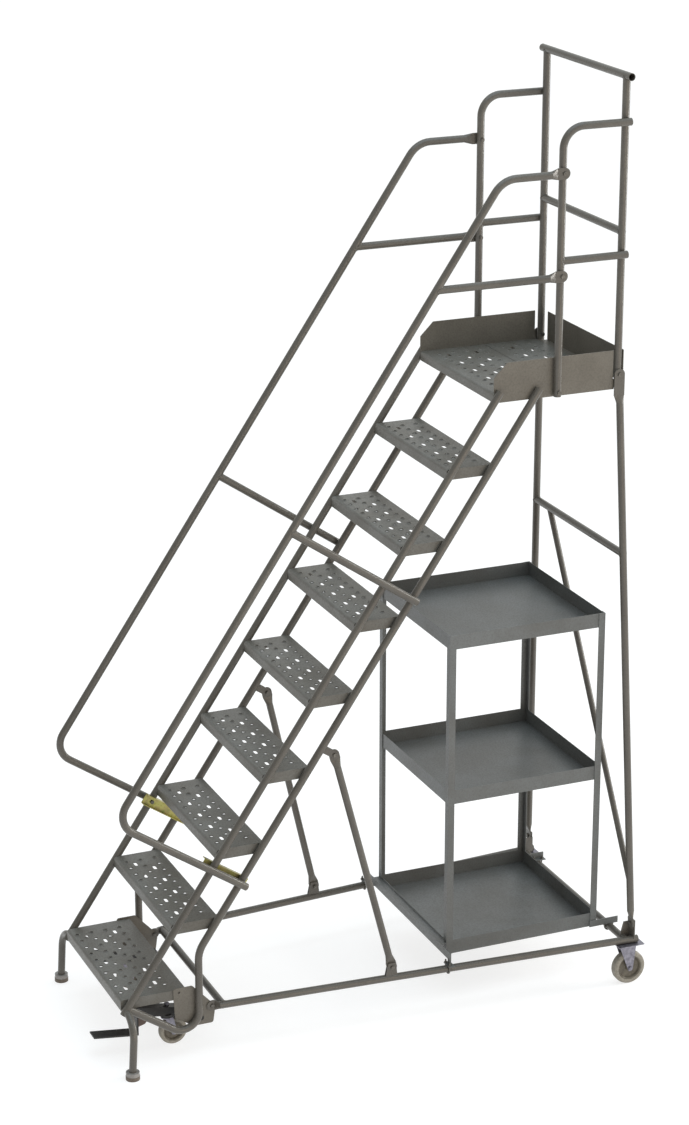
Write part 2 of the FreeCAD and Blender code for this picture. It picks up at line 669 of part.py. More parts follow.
# ---------------------------------------------------------------- base
BASE_Z = size("baseZ")
BASE_BOLT = Vector(0, 318.0, 170.0)
PLATE_THICKNESS = 4.0
PLATE_OUTER = INNER_FACE - 0.05
base_bars = {}
for tag, side in SIDES:
    tongue_flat = 8.0
    tongue_throat = 14.0
    front_y = BASE_BOLT.y + tongue_flat + tongue_throat
    start = Vector(side * base_x(front_y), front_y, BASE_Z)
    end = Vector(side * base_x(size("baseRear")), size("baseRear"), BASE_Z)
    base, base_bars[tag] = tube("base_" + tag, [start, end])
    offset = Vector(side * (PLATE_OUTER + TONGUE_THICKNESS / 2 + 0.1) - start.x, 0, BASE_BOLT.z - BASE_Z)
    tongue, _ = flat_end("base_end_" + tag, start, (0, -1, 0), (1, 0, 0), tongue_flat, offset,
                         throat_length=tongue_throat)
    cap = round_bar("base_cap_" + tag, end, end + (end - start).normalize() * 1.5, cell(OUTER) + " / 2")
    keep(fuse("base_" + tag, [base, tongue, cap]), "base_tube_" + tag)
cross_tubes = []
cross_bars = {}
for name, y in (("front", 354.0), ("rear", 1895.0)):
    cross_line = [Vector(-base_x(y), y, BASE_Z), Vector(base_x(y), y, BASE_Z)]
    cross, cross_bars[name] = tube("base_cross_" + name, cross_line)
    cross_tubes.append(cut("base_cross_" + name, cross, [base_bars["left"], base_bars["right"]]))
keep(fuse("base_cross_tubes", cross_tubes), "base_cross_tubes")

plate_outline = [
    (180.0, 146.0), (251.0, 103.0), (322.0, 103.0), (331.0, 167.0), (246.0, 260.0), (174.0, 260.0),
]
side_plates = []
for tag, side in SIDES:
    low = PLATE_OUTER - PLATE_THICKNESS if side > 0 else -PLATE_OUTER
    side_plate = plate("side_plate_" + tag, "YZ_Plane", low, plate_outline, "%s mm" % PLATE_THICKNESS,
                       holes=[(BASE_BOLT.y, BASE_BOLT.z), (196.0, 244.0)], radius=9.0)
    pivot = Vector(side * PLATE_OUTER, size("pivotY"), size("pivotZ"))
    pivot_hole = round_bar("pivot_hole_" + tag, pivot - Vector(10, 0, 0), pivot + Vector(10, 0, 0),
                           cell("pivotShaft") + " / 2 + " + cell("axlePlay"))
    side_plates.append(cut("side_plate_" + tag, side_plate, [pivot_hole]))
keep(fuse("side_plates", side_plates), "side_plates")

# ---------------------------------------------------------------- rear legs
LEG_FLAT = 76.0
FOOT_BOLT_Z = 234.0
leg_bars = {}
foot_tips = {}
for tag, side in SIDES:
    upper = leg_point(LEG_BOLT_Z - LEG_FLAT - 29.0, side)
    lower = leg_point(FOOT_BOLT_Z + 49.0, side)
    leg, leg_bars[tag] = tube("rear_leg_" + tag, [upper, lower])
    tongue_x = side * (POST_HALF + TUBE + TONGUE_THICKNESS / 2 + 0.1)
    offset = Vector(tongue_x - upper.x, REAR_POST_Y - upper.y, 0)
    top_end, _ = flat_end("rear_leg_top_" + tag, upper, (0, 0, 1), (1, 0, 0), LEG_FLAT, offset)
    downward = (lower - upper).normalize()
    square = (Vector(0, 1, 0) - downward * downward.y).normalize()
    foot_end, foot_tips[tag] = flat_end("rear_leg_foot_" + tag, lower, downward, square, 20.0)
    drain = drill("rear_leg_drain_" + tag, lower - downward * 60 + Vector(0, 10, 0), (0, 1, 0), 12, 3.0)
    whole_leg = fuse("rear_leg_" + tag, [leg, top_end, foot_end])
    keep(cut("rear_leg_" + tag, whole_leg, [drain]), "rear_leg_" + tag)

brace_left = leg_point(size("braceZ"), -1)
brace_right = leg_point(size("braceZ"), 1)
brace, brace_bar = tube("leg_brace", [brace_left, brace_right])
brace = cut("leg_brace", brace, [leg_bars["left"], leg_bars["right"]])
diagonal_start = Vector(-232.0, brace_left.y, size("braceZ"))
diagonal, _ = tube("leg_diagonal", [diagonal_start, leg_point(395.0, 1)], outer="braceOuter")
diagonal = cut("leg_diagonal", diagonal, [brace_bar, leg_bars["right"]])
keep(fuse("leg_braces", [brace, diagonal]), "leg_braces")

# ---------------------------------------------------------------- brace struts and their lugs
LUG_WALL = 3.0
LUG_GAP = 3.4
lugs = []
strut_ends = {}
for tag, side in SIDES:
    upper_bolt = Vector(side * size("stringerHalf"), size("strutTopY"), size("strutTopZ"))
    lower_bolt = Vector(side * base_x(size("strutFootY")), size("strutFootY"), size("strutFootZ"))
    strut_ends[tag] = (upper_bolt, lower_bolt)
    run = (lower_bolt - upper_bolt).normalize()
    square = (Vector(1, 0, 0) - run * run.x).normalize()
    flat = 20.0
    reach = 29.0 + flat
    strut, _ = tube("strut_" + tag, [upper_bolt + run * reach, lower_bolt - run * reach],
                    outer="strutOuter")
    head_throat = upper_bolt + run * reach
    foot_throat = lower_bolt - run * reach
    head, _ = flat_end("strut_head_" + tag, head_throat, run * -1, square, flat, outer="strutOuter")
    foot, _ = flat_end("strut_foot_" + tag, foot_throat, run, square, flat, outer="strutOuter")
    drain = drill("strut_drain_" + tag, lower_bolt - run * 90 + Vector(0, 10, 0), (0, 1, 0), 12, 3.0)
    whole_strut = fuse("strut_" + tag, [strut, head, foot])
    keep(cut("strut_" + tag, whole_strut, [drain]), "brace_strut_" + tag)

    on_stringer = upper_bolt - ACROSS * 57.0
    upper_lug = [on_stringer + SLOPE * 14, upper_bolt + SLOPE * 12 + ACROSS * 14,
                 upper_bolt - SLOPE * 12 + ACROSS * 14, on_stringer - SLOPE * 14]
    lower_lug = [Vector(0, lower_bolt.y - 28, BASE_Z), Vector(0, lower_bolt.y - 16, lower_bolt.z + 17),
                 Vector(0, lower_bolt.y + 14, lower_bolt.z + 17), Vector(0, lower_bolt.y + 20, BASE_Z)]
    tools = {"upper": stringer_bars[tag][1], "lower": base_bars[tag]}
    for place, outline, bolt in (("upper", upper_lug, upper_bolt), ("lower", lower_lug, lower_bolt)):
        for ear, offset in (("in", -LUG_GAP - LUG_WALL), ("out", LUG_GAP)):
            name = "lug_%s_%s_%s" % (place, ear, tag)
            corners = [(p.y, p.z) for p in outline]
            blank = plate(name, "YZ_Plane", bolt.x + offset, corners, "%s mm" % LUG_WALL,
                          holes=[(bolt.y, bolt.z)])
            lugs.append(cut(name, blank, [tools[place]]))

    # an angle on the base tube takes the leg's crushed foot
    tip = foot_tips[tag]
    back_y = tip.y + TONGUE_THICKNESS / 2 + 1.6
    flange = box("foot_lug_flange_" + tag, Vector(tip.x - 20, back_y, BASE_Z),
                 Vector(tip.x + 20, back_y + 4, tip.z + 18))
    web_low = min(tip.x - side * 24, tip.x - side * 20)
    web_outline = [(back_y - 38, BASE_Z), (back_y - 22, tip.z), (back_y + 4, tip.z), (back_y + 4, BASE_Z)]
    web = plate("foot_lug_web_" + tag, "YZ_Plane", web_low, web_outline, "4 mm")
    hole = drill("foot_lug_hole_" + tag, tip, (0, 1, 0), 20)
    lugs.append(cut("foot_lug_" + tag, fuse("foot_lug_" + tag, [flange, web]),
                    [base_bars[tag], cross_bars["rear"], hole]))
keep(fuse("brace_lugs", lugs), "brace_lugs")

# ---------------------------------------------------------------- tray rack
TRAY_HALF = size("trayHalf")
TRAY_FRONT = size("trayFront")
TRAY_REAR = size("trayRear")
for name in ("Top", "Middle", "Low"):
    low = size("trayBottom" + name)
    tray = folded_pan("tray_" + name, TRAY_FRONT, TRAY_REAR - TRAY_FRONT, low + size("trayRim"), TRAY_HALF,
                      size("trayRim"), open_up=True)
    keep(tray, "tray_" + {"Top": "top", "Middle": "middle", "Low": "bottom"}[name])

LEG = size("angleLeg")
WALL = size("angleWall")
POST_LOW = 188.0
posts = []
for tag, side in SIDES:
    for corner, y, toward in (("front", TRAY_FRONT, 1), ("rear", TRAY_REAR, -1)):
        x = side * TRAY_HALF
        outline = [
            (x + side * WALL, y - toward * WALL), (x + side * WALL, y + toward * (LEG - WALL)),
            (x, y + toward * (LEG - WALL)), (x, y), (x - side * (LEG - WALL), y),
            (x - side * (LEG - WALL), y - toward * WALL),
        ]
        posts.append(plate("rack_post_%s_%s" % (corner, tag), "XY_Plane", POST_LOW, outline,
                           "%s + %s - %s" % (cell("trayBottomTop"), cell("trayRim"), POST_LOW)))
keep(fuse("tray_posts", posts), "tray_posts")

# crossbar in front of the rack, standing on the base tubes, and two stubs on the rear cross tube
BASE_TOP = BASE_Z + TUBE + 0.1
CLAMP_Y = 1203.0
CROSSBAR_TOP = 235.0
STUB_CLAMP_Y = 1895.0
STUB_END_Y = 1925.0
ROD = 3.0
clamp_x = base_x(CLAMP_Y)
CLAMP_HALF = 12.0
mounts = [
    box("crossbar_web", Vector(-clamp_x - CLAMP_HALF, CLAMP_Y - WALL / 2, CROSSBAR_TOP - 30),
        Vector(clamp_x + CLAMP_HALF, CLAMP_Y + WALL / 2, CROSSBAR_TOP)),
    box("crossbar_ledge", Vector(-TRAY_HALF - WALL, CLAMP_Y, CROSSBAR_TOP - WALL),
        Vector(TRAY_HALF + WALL, TRAY_FRONT - WALL - 0.1, CROSSBAR_TOP)),
]
rack_clamps = []
for tag, side in SIDES:
    x = side * clamp_x
    mounts.append(box("crossbar_leg_" + tag, Vector(x - CLAMP_HALF, CLAMP_Y - WALL / 2, BASE_TOP),
                      Vector(x + CLAMP_HALF, CLAMP_Y + WALL / 2, CROSSBAR_TOP)))
    mounts.append(box("crossbar_foot_" + tag, Vector(x - 2 * CLAMP_HALF, CLAMP_Y - CLAMP_HALF, BASE_TOP),
                      Vector(x + 2 * CLAMP_HALF, CLAMP_Y + CLAMP_HALF, BASE_TOP + WALL)))
    rack_clamps.append((Vector(x, CLAMP_Y - 7, BASE_Z), Vector(1, 0, 0)))
    stub_x = side * (TRAY_HALF + WALL + 0.1)
    web_low, web_high = sorted((stub_x, stub_x + side * WALL))
    foot_low, foot_high = sorted((stub_x + side * WALL, stub_x - side * (LEG - WALL)))
    mounts.append(box("stub_web_" + tag, Vector(web_low, TRAY_REAR - LEG, BASE_TOP),
                      Vector(web_high, STUB_END_Y, BASE_TOP + LEG)))
    mounts.append(box("stub_foot_" + tag, Vector(foot_low, TRAY_REAR + WALL + 0.1, BASE_TOP),
                      Vector(foot_high, STUB_END_Y, BASE_TOP + WALL)))
    rack_clamps.append((Vector(stub_x - side * 11, STUB_CLAMP_Y, BASE_Z), Vector(0, 1, 0)))
CLAMP_REACH = TUBE + ROD + 0.4
rod_holes = []
clamps = []
for index, (centre, span) in enumerate(rack_clamps):
    top = Vector(0, 0, BASE_TOP - BASE_Z + 16)
    left_foot = centre - span * CLAMP_REACH
    right_foot = centre + span * CLAMP_REACH
    path = Part.Wire([
        Part.LineSegment(left_foot + top, left_foot).toShape(),
        Part.Arc(left_foot, centre - Vector(0, 0, CLAMP_REACH), right_foot).toShape(),
        Part.LineSegment(right_foot, right_foot + top).toShape(),
    ])
    name = "u_bolt_%d" % index
    rod = swept_bar(name, path, left_foot + top, Vector(0, 0, -1), "%s mm" % ROD)
    clamps.append(rod)
    for tag, foot in (("a", left_foot), ("b", right_foot)):
        rod_holes.append(drill("%s_hole_%s" % (name, tag), foot + top * 0.5, (0, 0, 1), 30, ROD + 0.3))
        nut = doc.addObject("Part::Prism", internal("%s_nut_%s" % (name, tag)))
        nut.Polygon = 6
        nut.Circumradius = 5.8
        nut.Height = 5.0
        nut.Placement.Base = foot + Vector(0, 0, BASE_TOP - BASE_Z + WALL)
        clamps.append(nut)
keep(cut("tray_mounts", fuse("tray_mounts", mounts), rod_holes), "tray_mounts")
keep(fuse("u_bolts", clamps), "u_bolts")


# ---------------------------------------------------------------- turned and bolted parts
def turned(name, profile, centre):
    """A solid of revolution about an axle along X; the profile is (distance along X, radius) pairs."""
    sketch = doc.addObject("Sketcher::SketchObject", internal(name + "_profile"))
    sketch.Placement = Placement(centre, Rotation(Vector(1, 0, 0), 90))
    add_outline(sketch, profile)
    doc.recompute()
    solid = doc.addObject("Part::Revolution", internal(name))
    solid.Source = sketch
    solid.Base = centre
    solid.Axis = Vector(1, 0, 0)
    solid.Angle = 360
    solid.Solid = True
    return solid


def wheel(name, centre, radius, width):
    """A moulded wheel: hub, thin web and a tyre with bevelled shoulders."""
    half = width / 2
    bore = size("axleRadius") + size("axlePlay")
    web = 6.0
    one_side = [
        (half, bore), (half, 13.0), (web, 15.0), (web, 0.62 * radius), (half - 1, 0.68 * radius),
        (half, 0.72 * radius), (half, 0.9 * radius), (half - 5, radius),
    ]
    other_side = [(-along, out) for along, out in reversed(one_side)]
    return turned(name, one_side + other_side, centre)


def hexagon(name, centre, direction, circumradius, height):
    """A hexagonal head or nut standing on a point."""
    head = doc.addObject("Part::Prism", internal(name))
    head.Polygon = 6
    head.Circumradius = circumradius
    head.Height = height
    head.Placement = Placement(centre, facing(direction))
    return head


def bolt(name, head_at, nut_at, radius=4.4):
    """Head, shank and nut; the shank runs between the two faces it clamps."""
    direction = (nut_at - head_at).normalize()
    across = 1.75 * radius
    return [
        hexagon(name + "_head", head_at, direction * -1, across, 1.1 * radius),
        round_bar(name + "_shank", head_at, nut_at + direction * 1.8 * radius, "%s mm" % radius),
        hexagon(name + "_nut", nut_at, direction, across, 1.4 * radius),
    ]


FORK_GAP = 16.5
FORK_WALL = 2.5


def fork_legs(name, axle, top_z, top_front, top_rear):
    """Two tapering legs with an axle bolt between them."""
    pieces = []
    tip = 11.0
    outline = [
        (top_front, top_z), (top_rear, top_z), (axle.y + tip, axle.z), (axle.y + tip / 2, axle.z - tip),
        (axle.y - tip / 2, axle.z - tip), (axle.y - tip, axle.z),
    ]
    for leg, low in (("in", axle.x - FORK_GAP - FORK_WALL), ("out", axle.x + FORK_GAP)):
        pieces.append(plate("%s_leg_%s" % (name, leg), "YZ_Plane", low, outline, "%s mm" % FORK_WALL))
    reach = Vector(FORK_GAP + FORK_WALL, 0, 0)
    pieces.append(round_bar(name + "_axle", axle - reach, axle + reach, cell("axleRadius")))
    pieces.append(hexagon(name + "_axle_head", axle - reach, Vector(-1, 0, 0), 8.0, 5.0))
    pieces.append(hexagon(name + "_axle_nut", axle + reach, Vector(1, 0, 0), 8.0, 5.0))
    return pieces


# ---------------------------------------------------------------- fixed rear wheels
FORK_PLATE_TOP = BASE_Z - TUBE - 0.05
FORK_PLATE = 3.0
rear_forks = []
for tag, side in SIDES:
    axle = Vector(side * size("rearWheelHalf"), size("rearWheelY"), size("rearWheelRadius"))
    top = box("rear_fork_plate_" + tag, Vector(axle.x - 30, axle.y - 53, FORK_PLATE_TOP - FORK_PLATE),
              Vector(axle.x + 30, axle.y + 50, FORK_PLATE_TOP))
    rear_forks += [top] + fork_legs("rear_fork_" + tag, axle, FORK_PLATE_TOP - FORK_PLATE / 2,
                                    axle.y - 46, axle.y + 22)
    keep(wheel("rear_wheel_" + tag, axle, size("rearWheelRadius"), size("rearWheelWidth")),
         "rear_wheel_" + tag)
keep(fuse("rear_wheel_forks", rear_forks), "rear_wheel_forks")

# ---------------------------------------------------------------- pedal carriage
# Two channel arms on a cross shaft carry the front casters; a foot pedal reaches forward under
# tread 1. Pressing it swings the carriage down until the casters meet the floor.
PIVOT = Vector(0, size("pivotY"), size("pivotZ"))
CASTER_HALF = size("casterHalf")
CASTER_Y = size("casterY")
ARM_HALF_WIDTH = 17.0
ARM_DEPTH = 35.0
ARM_WALL = 3.0
ARM_FRONT = Vector(0, 50.0, 184.0)
ARM_REAR_Y = 300.0
ARM_PITCH = -0.171
PIN_RADIUS = 6.0
CROWN_TOP = 121.0
SHAFT_END = 303.5


def arm_top(y):
    return ARM_FRONT.z + (y - ARM_FRONT.y) * ARM_PITCH


def slanted_bar(name, low_x, width, top_drop, depth):
    """A bar parallel to the carriage arms, drawn from the side."""
    outline = [
        (ARM_FRONT.y, arm_top(ARM_FRONT.y) - top_drop), (ARM_REAR_Y, arm_top(ARM_REAR_Y) - top_drop),
        (ARM_REAR_Y, arm_top(ARM_REAR_Y) - depth), (ARM_FRONT.y, arm_top(ARM_FRONT.y) - depth),
    ]
    return plate(name, "YZ_Plane", low_x, outline, "%s mm" % width)


shaft_reach = Vector(SHAFT_END, 0, 0)
shaft = round_bar("shaft", PIVOT - shaft_reach, PIVOT + shaft_reach, cell("pivotShaft") + " / 2")
carriage = [shaft]
for tag, side in SIDES:
    x = side * CASTER_HALF
    block = slanted_bar("arm_block_" + tag, x - ARM_HALF_WIDTH, 2 * ARM_HALF_WIDTH, 0, ARM_DEPTH)
    hollow = slanted_bar("arm_hollow_" + tag, x - ARM_HALF_WIDTH + ARM_WALL, 2 * (ARM_HALF_WIDTH - ARM_WALL),
                         ARM_WALL, ARM_DEPTH + 5)
    web_hole = drill("arm_hole_" + tag, Vector(x, CASTER_Y, arm_top(CASTER_Y)), (0, 0, 1), 15, PIN_RADIUS + 2)
    arm = cut("arm_" + tag, block, [hollow, web_hole])
    boss_reach = Vector(ARM_HALF_WIDTH + 3, 0, 0)
    boss = round_bar("arm_boss_" + tag, Vector(x, PIVOT.y, PIVOT.z) - boss_reach,
                     Vector(x, PIVOT.y, PIVOT.z) + boss_reach, "14.5 mm")
    cup_low = Vector(x, CASTER_Y, CROWN_TOP + 0.4)
    cup = round_bar("cup_" + tag, cup_low, cup_low + Vector(0, 0, 10.6), "22 mm")
    cup_bore = drill("cup_bore_" + tag, cup_low, (0, 0, 1), 20, PIN_RADIUS + size("axlePlay"))
    carriage += [arm, boss, cut("cup_" + tag, cup, [cup_bore])]

    axle = Vector(x, CASTER_Y + size("casterTrail"), size("frontWheelRadius") + size("casterLift"))
    pin_low = Vector(x, CASTER_Y, CROWN_TOP - 4.0)
    pin = round_bar("king_pin_" + tag, pin_low, pin_low + Vector(0, 0, 55), "%s mm" % PIN_RADIUS)
    nut = hexagon("king_nut_" + tag, pin_low + Vector(0, 0, 49), Vector(0, 0, 1), 9.5, 6.0)
    crown = round_bar("crown_" + tag, pin_low, Vector(x, CASTER_Y, CROWN_TOP), "23 mm")
    legs = fork_legs("caster_fork_" + tag, axle, CROWN_TOP - 1, CASTER_Y - 12, CASTER_Y + 18)
    keep(fuse("caster_fork_" + tag, [pin, nut, crown] + legs), "caster_fork_" + tag)
    keep(wheel("caster_wheel_" + tag, axle, size("frontWheelRadius"), size("frontWheelWidth")),
         "caster_wheel_" + tag)
keep(fuse("carriage_frame", carriage), "carriage_frame")

# pedal: a bent strap that dips below tread 1, rises beside the near arm, and a gusset behind the bend
BAR = size("barThickness")
PEDAL_LOW = size("pedalHalf") - size("pedalWidth") / 2
HEEL = Vector(0, 70.0, 56.0)
RISER_TOP = 165.0
tip_y = size("pedalTipY")
tip_z = size("pedalTipZ")
strap_outline = [
    (tip_y, tip_z), (HEEL.y - 2, HEEL.z + BAR), (HEEL.y, HEEL.z + BAR + 3), (HEEL.y, RISER_TOP),
    (HEEL.y + BAR, RISER_TOP), (HEEL.y + BAR, HEEL.z), (HEEL.y - 1, HEEL.z - 1), (tip_y, tip_z - BAR),
]
strap = plate("pedal_strap", "YZ_Plane", PEDAL_LOW, strap_outline, cell("pedalWidth"))
GUSSET_FRONT = HEEL.y + BAR
GUSSET_REAR = GUSSET_FRONT + 46.0
gusset_outline = [
    (GUSSET_FRONT, 80.0), (GUSSET_REAR - 18, 88.0), (GUSSET_REAR, 108.0), (GUSSET_REAR, RISER_TOP - 8),
    (GUSSET_REAR - 8, RISER_TOP), (GUSSET_FRONT, RISER_TOP),
]
gusset = plate("pedal_gusset", "YZ_Plane", size("pedalHalf") + 7, gusset_outline, "4 mm")
keep(fuse("pedal", [strap, gusset]), "pedal")

COIL_RADIUS = 11.05
WIRE_RADIUS = 1.5
COIL_START = CASTER_HALF + ARM_HALF_WIDTH + 6
helix = doc.addObject("Part::Helix", internal("spring_path"))
helix.Pitch = 3.8
helix.Height = 26.6
helix.Radius = COIL_RADIUS
wire_section = doc.addObject("Part::Circle", internal("spring_section"))
wire_section.Radius = WIRE_RADIUS
wire_section.Placement = Placement(Vector(COIL_RADIUS, 0, 0), facing(Vector(0, 1, 0)))
doc.recompute()
coil = doc.addObject("Part::Sweep", internal("spring_coil"))
coil.Sections = [wire_section]
coil.Spine = (helix, ["Edge1"])
coil.Solid = True
coil.Frenet = True
coil.Placement = Placement(Vector(COIL_START, PIVOT.y, PIVOT.z), Rotation(Vector(0, 1, 0), 90))
coil.setExpression("Placement.Base.y", cell("pivotY") + " - " + cell("rowCentre"))
coil.Label = "pedal_spring"
SUBPARTS.append(coil)

# ---------------------------------------------------------------- bolts of the fixed frame
# the handrail's lower bolts end in nuts inside its tube, so its outside stays smooth
HIDDEN_NUT_HALF = size("handrailHalf") - 8.5
bolts = []
for tag, side in SIDES:
    outward = Vector(side, 0, 0)
    for place, z, y0 in (("front", 701.0, front_stringer_y), ("rear", 631.0, rear_stringer_y)):
        bolts += bolt("tie_bolt_%s_%s" % (place, tag),
                      Vector(side * (INNER_FACE - BRACKET_WALL), y0(z), z),
                      Vector(side * HIDDEN_NUT_HALF, y0(z), z))
    tongue_face = GUARD_HALF + TUBE + TONGUE_THICKNESS + 0.1
    for place, z in (("mid", size("handrailMid")), ("top", size("handrailTop"))):
        bolts += bolt("rail_bolt_%s_%s" % (place, tag), Vector(side * tongue_face, POST_Y, z),
                      Vector(side * (GUARD_HALF - TUBE), POST_Y, z))
    bolts += bolt("guard_bolt_" + tag, Vector(side * (GUARD_HALF + TUBE), POST_Y, GUARD_BOLT_Z),
                  Vector(side * (HALF - 0.3 - size("sheet")), POST_Y, GUARD_BOLT_Z))
    bolts += bolt("leg_bolt_" + tag,
                  Vector(side * (POST_HALF + TUBE + TONGUE_THICKNESS + 0.1), REAR_POST_Y, LEG_BOLT_Z),
                  Vector(side * (POST_HALF - TUBE), REAR_POST_Y, LEG_BOLT_Z))
    bolts += bolt("base_bolt_" + tag,
                  Vector(side * (PLATE_OUTER + TONGUE_THICKNESS + 0.1), BASE_BOLT.y, BASE_BOLT.z),
                  Vector(side * (PLATE_OUTER - PLATE_THICKNESS), BASE_BOLT.y, BASE_BOLT.z))
    for place, centre in zip(("head", "foot"), strut_ends[tag]):
        half_grip = outward * (LUG_GAP + LUG_WALL)
        bolts += bolt("strut_bolt_%s_%s" % (place, tag), centre + half_grip, centre - half_grip)
    tip = foot_tips[tag]
    bolts += bolt("foot_bolt_" + tag, tip - Vector(0, TONGUE_THICKNESS / 2 + 0.4, 0),
                  tip + Vector(0, TONGUE_THICKNESS / 2 + 5.6, 0))
keep(fuse("frame_bolts", bolts), "frame_bolts")

# ---------------------------------------------------------------- checks and export
doc.recompute()
for obj in doc.Objects:
    bad = [state for state in obj.State if state in ("Invalid", "Error")]
    if bad:
        raise RuntimeError("%s (%s) failed: %s" % (obj.Name, obj.Label, bad))
names = [obj.Label for obj in SUBPARTS]
if len(names) != len(set(names)) or len(names) > 60:
    raise RuntimeError("sub-part names must be unique and at most 60")
for obj in SUBPARTS:
    if obj.Shape.isNull() or not obj.Shape.isValid() or not obj.Shape.Solids:
        raise RuntimeError("%s has no valid solid" % obj.Label)
for obj in SUBPARTS:
    obj.Shape.exportStep("parts/%s.step" % obj.Label)
    print("%-24s %2d solids %12.0f mm3" % (obj.Label, len(obj.Shape.Solids), obj.Shape.Volume))
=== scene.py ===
# %% [markdown]
# # A rolling ladder stand with a tray rack
#
# The stand is a bent steel tube frame, sprayed grey, with eight perforated steps and a guarded
# platform. A rack of three sheet trays stands under the stair. Two fixed wheels carry the back, and a
# foot pedal at the front lowers two swivel casters. The engineering model gives every real shape, so
# this lesson adds what such a model leaves out: finishes, raised step buttons, welds, plugs and wheels.

# %% Load the engineering model as a fixed frame
import json
import math

import bmesh
import bpy
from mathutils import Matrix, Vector


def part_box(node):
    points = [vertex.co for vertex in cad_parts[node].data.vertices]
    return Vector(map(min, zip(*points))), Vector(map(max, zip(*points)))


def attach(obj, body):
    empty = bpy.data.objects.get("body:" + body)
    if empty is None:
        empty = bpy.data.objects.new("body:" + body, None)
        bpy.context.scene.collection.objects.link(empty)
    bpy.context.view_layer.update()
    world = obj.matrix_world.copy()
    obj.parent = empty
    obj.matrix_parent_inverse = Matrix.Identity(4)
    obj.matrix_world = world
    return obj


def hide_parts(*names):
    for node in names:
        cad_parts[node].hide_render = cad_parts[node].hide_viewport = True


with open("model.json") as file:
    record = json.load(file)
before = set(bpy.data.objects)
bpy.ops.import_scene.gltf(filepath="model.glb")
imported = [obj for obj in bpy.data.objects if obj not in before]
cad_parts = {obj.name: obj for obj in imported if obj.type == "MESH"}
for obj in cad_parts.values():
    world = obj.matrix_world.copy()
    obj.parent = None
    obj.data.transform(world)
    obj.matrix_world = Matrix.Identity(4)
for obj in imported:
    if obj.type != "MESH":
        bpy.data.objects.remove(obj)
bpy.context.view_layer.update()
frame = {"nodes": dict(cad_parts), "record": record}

nodes = frame["nodes"]

# %% [markdown]
# ## Units, places and small tools
#
# The drawings of the stand are in millimetres and the scene is in metres, so one constant turns the
# first into the second. Distances along the stand are counted from the front edge line of the stair,
# and the footprint's middle lies a fixed distance behind it. One function does both steps, and the
# rest of the lesson can then use the numbers of the workshop drawing.

# %% Millimetres and the drawing's origin
MM = 0.001
ROW_CENTRE = 941.25
SIDES = (-1, 1)


def place(x, y, z):
    """A point of the drawing, in the scene's metres."""
    return Vector((x, y - ROW_CENTRE, z)) * MM


print("the drawing's origin is at", place(0, 0, 0))

# %% [markdown]
# The main tubes all have the same radius. The stringers and the handrails all lean at the
# stair's own angle, one rise up for each going back, so two directions serve them all: up along the
# stair, and square to it. The handrails stand out to the sides, and their line is given by where it
# passes the height of the first rise.

# %% The stair's slope and its handrails
TUBE_RADIUS = 13.35
RISE = 254.0
GOING = 172.0
UP_STAIR = Vector((0, GOING, RISE)).normalized()
ACROSS_STAIR = Vector((0, RISE, -GOING)).normalized()
HANDRAIL_HALF = 344.3
HANDRAIL_Y_AT_RISE = -501.3


def handrail_y(z):
    """How far back the handrails' centre line is at a height."""
    return HANDRAIL_Y_AT_RISE + (z - RISE) * GOING / RISE


print("stair angle", round(math.degrees(math.atan2(RISE, GOING)), 1), "degrees")

# %% [markdown]
# A bmesh is Blender's editable mesh. Each piece below is shaped in one and then becomes an object whose
# place is already in its points, so the object itself sits at the origin, unturned. The function also
# joins the piece to the body it moves with and gives it a material.

# %% From a bmesh to a piece that rides on a body
SMOOTH_ANGLE = math.radians(40)


def finish_piece(bm, name, body, material):
    """Turns a bmesh into a named object with a material, riding on a body."""
    bmesh.ops.recalc_face_normals(bm, faces=bm.faces)
    mesh = bpy.data.meshes.new(name)
    bm.to_mesh(mesh)
    bm.free()
    mesh.shade_smooth()
    mesh.set_sharp_from_angle(angle=SMOOTH_ANGLE)
    mesh.materials.append(material)
    piece = bpy.data.objects.new(name, mesh)
    bpy.context.scene.collection.objects.link(piece)
    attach(piece, body)
    print(name, len(mesh.polygons), "faces")
    return piece


# %% [markdown]
# Round pieces come from spinning an outline about an axis, as on a lathe. The outline is a list of
# (distance along the axis, radius) pairs, and the spin's last step is merged with its first one.

# %% Turn an outline on the lathe
MERGE_DISTANCE = 1e-6


def turn(bm, outline, centre, axis, steps):
    """Spins a closed outline, in millimetres, about an axis through a centre, in metres."""
    along = Vector(axis).normalized()
    out = along.orthogonal().normalized()
    verts = [bm.verts.new(centre + (along * a + out * r) * MM) for a, r in outline]
    edges = [bm.edges.new((verts[i - 1], verts[i])) for i in range(len(verts))]
    bmesh.ops.spin(bm, geom=verts + edges, cent=centre, axis=along, dvec=(0, 0, 0),
                   angle=math.tau, steps=steps, use_merge=True, use_duplicate=False)
    bmesh.ops.remove_doubles(bm, verts=bm.verts[:], dist=MERGE_DISTANCE)


# %% [markdown]
# ## Finishes
#
# Colours are written as the sRGB hex values a paint chart gives. A shader works in linear light, so one
# function converts them. A second function adds any node with its settings and links, which keeps each
# material readable as a short recipe.

# %% Colour and node helpers
def paint_chart(code):
    """An sRGB hex colour as a linear RGBA value."""
    channels = [int(code[i:i + 2], 16) / 255 for i in (1, 3, 5)]
    linear = [c / 12.92 if c <= 0.04045 else ((c + 0.055) / 1.055) ** 2.4 for c in channels]
    return (*linear, 1.0)


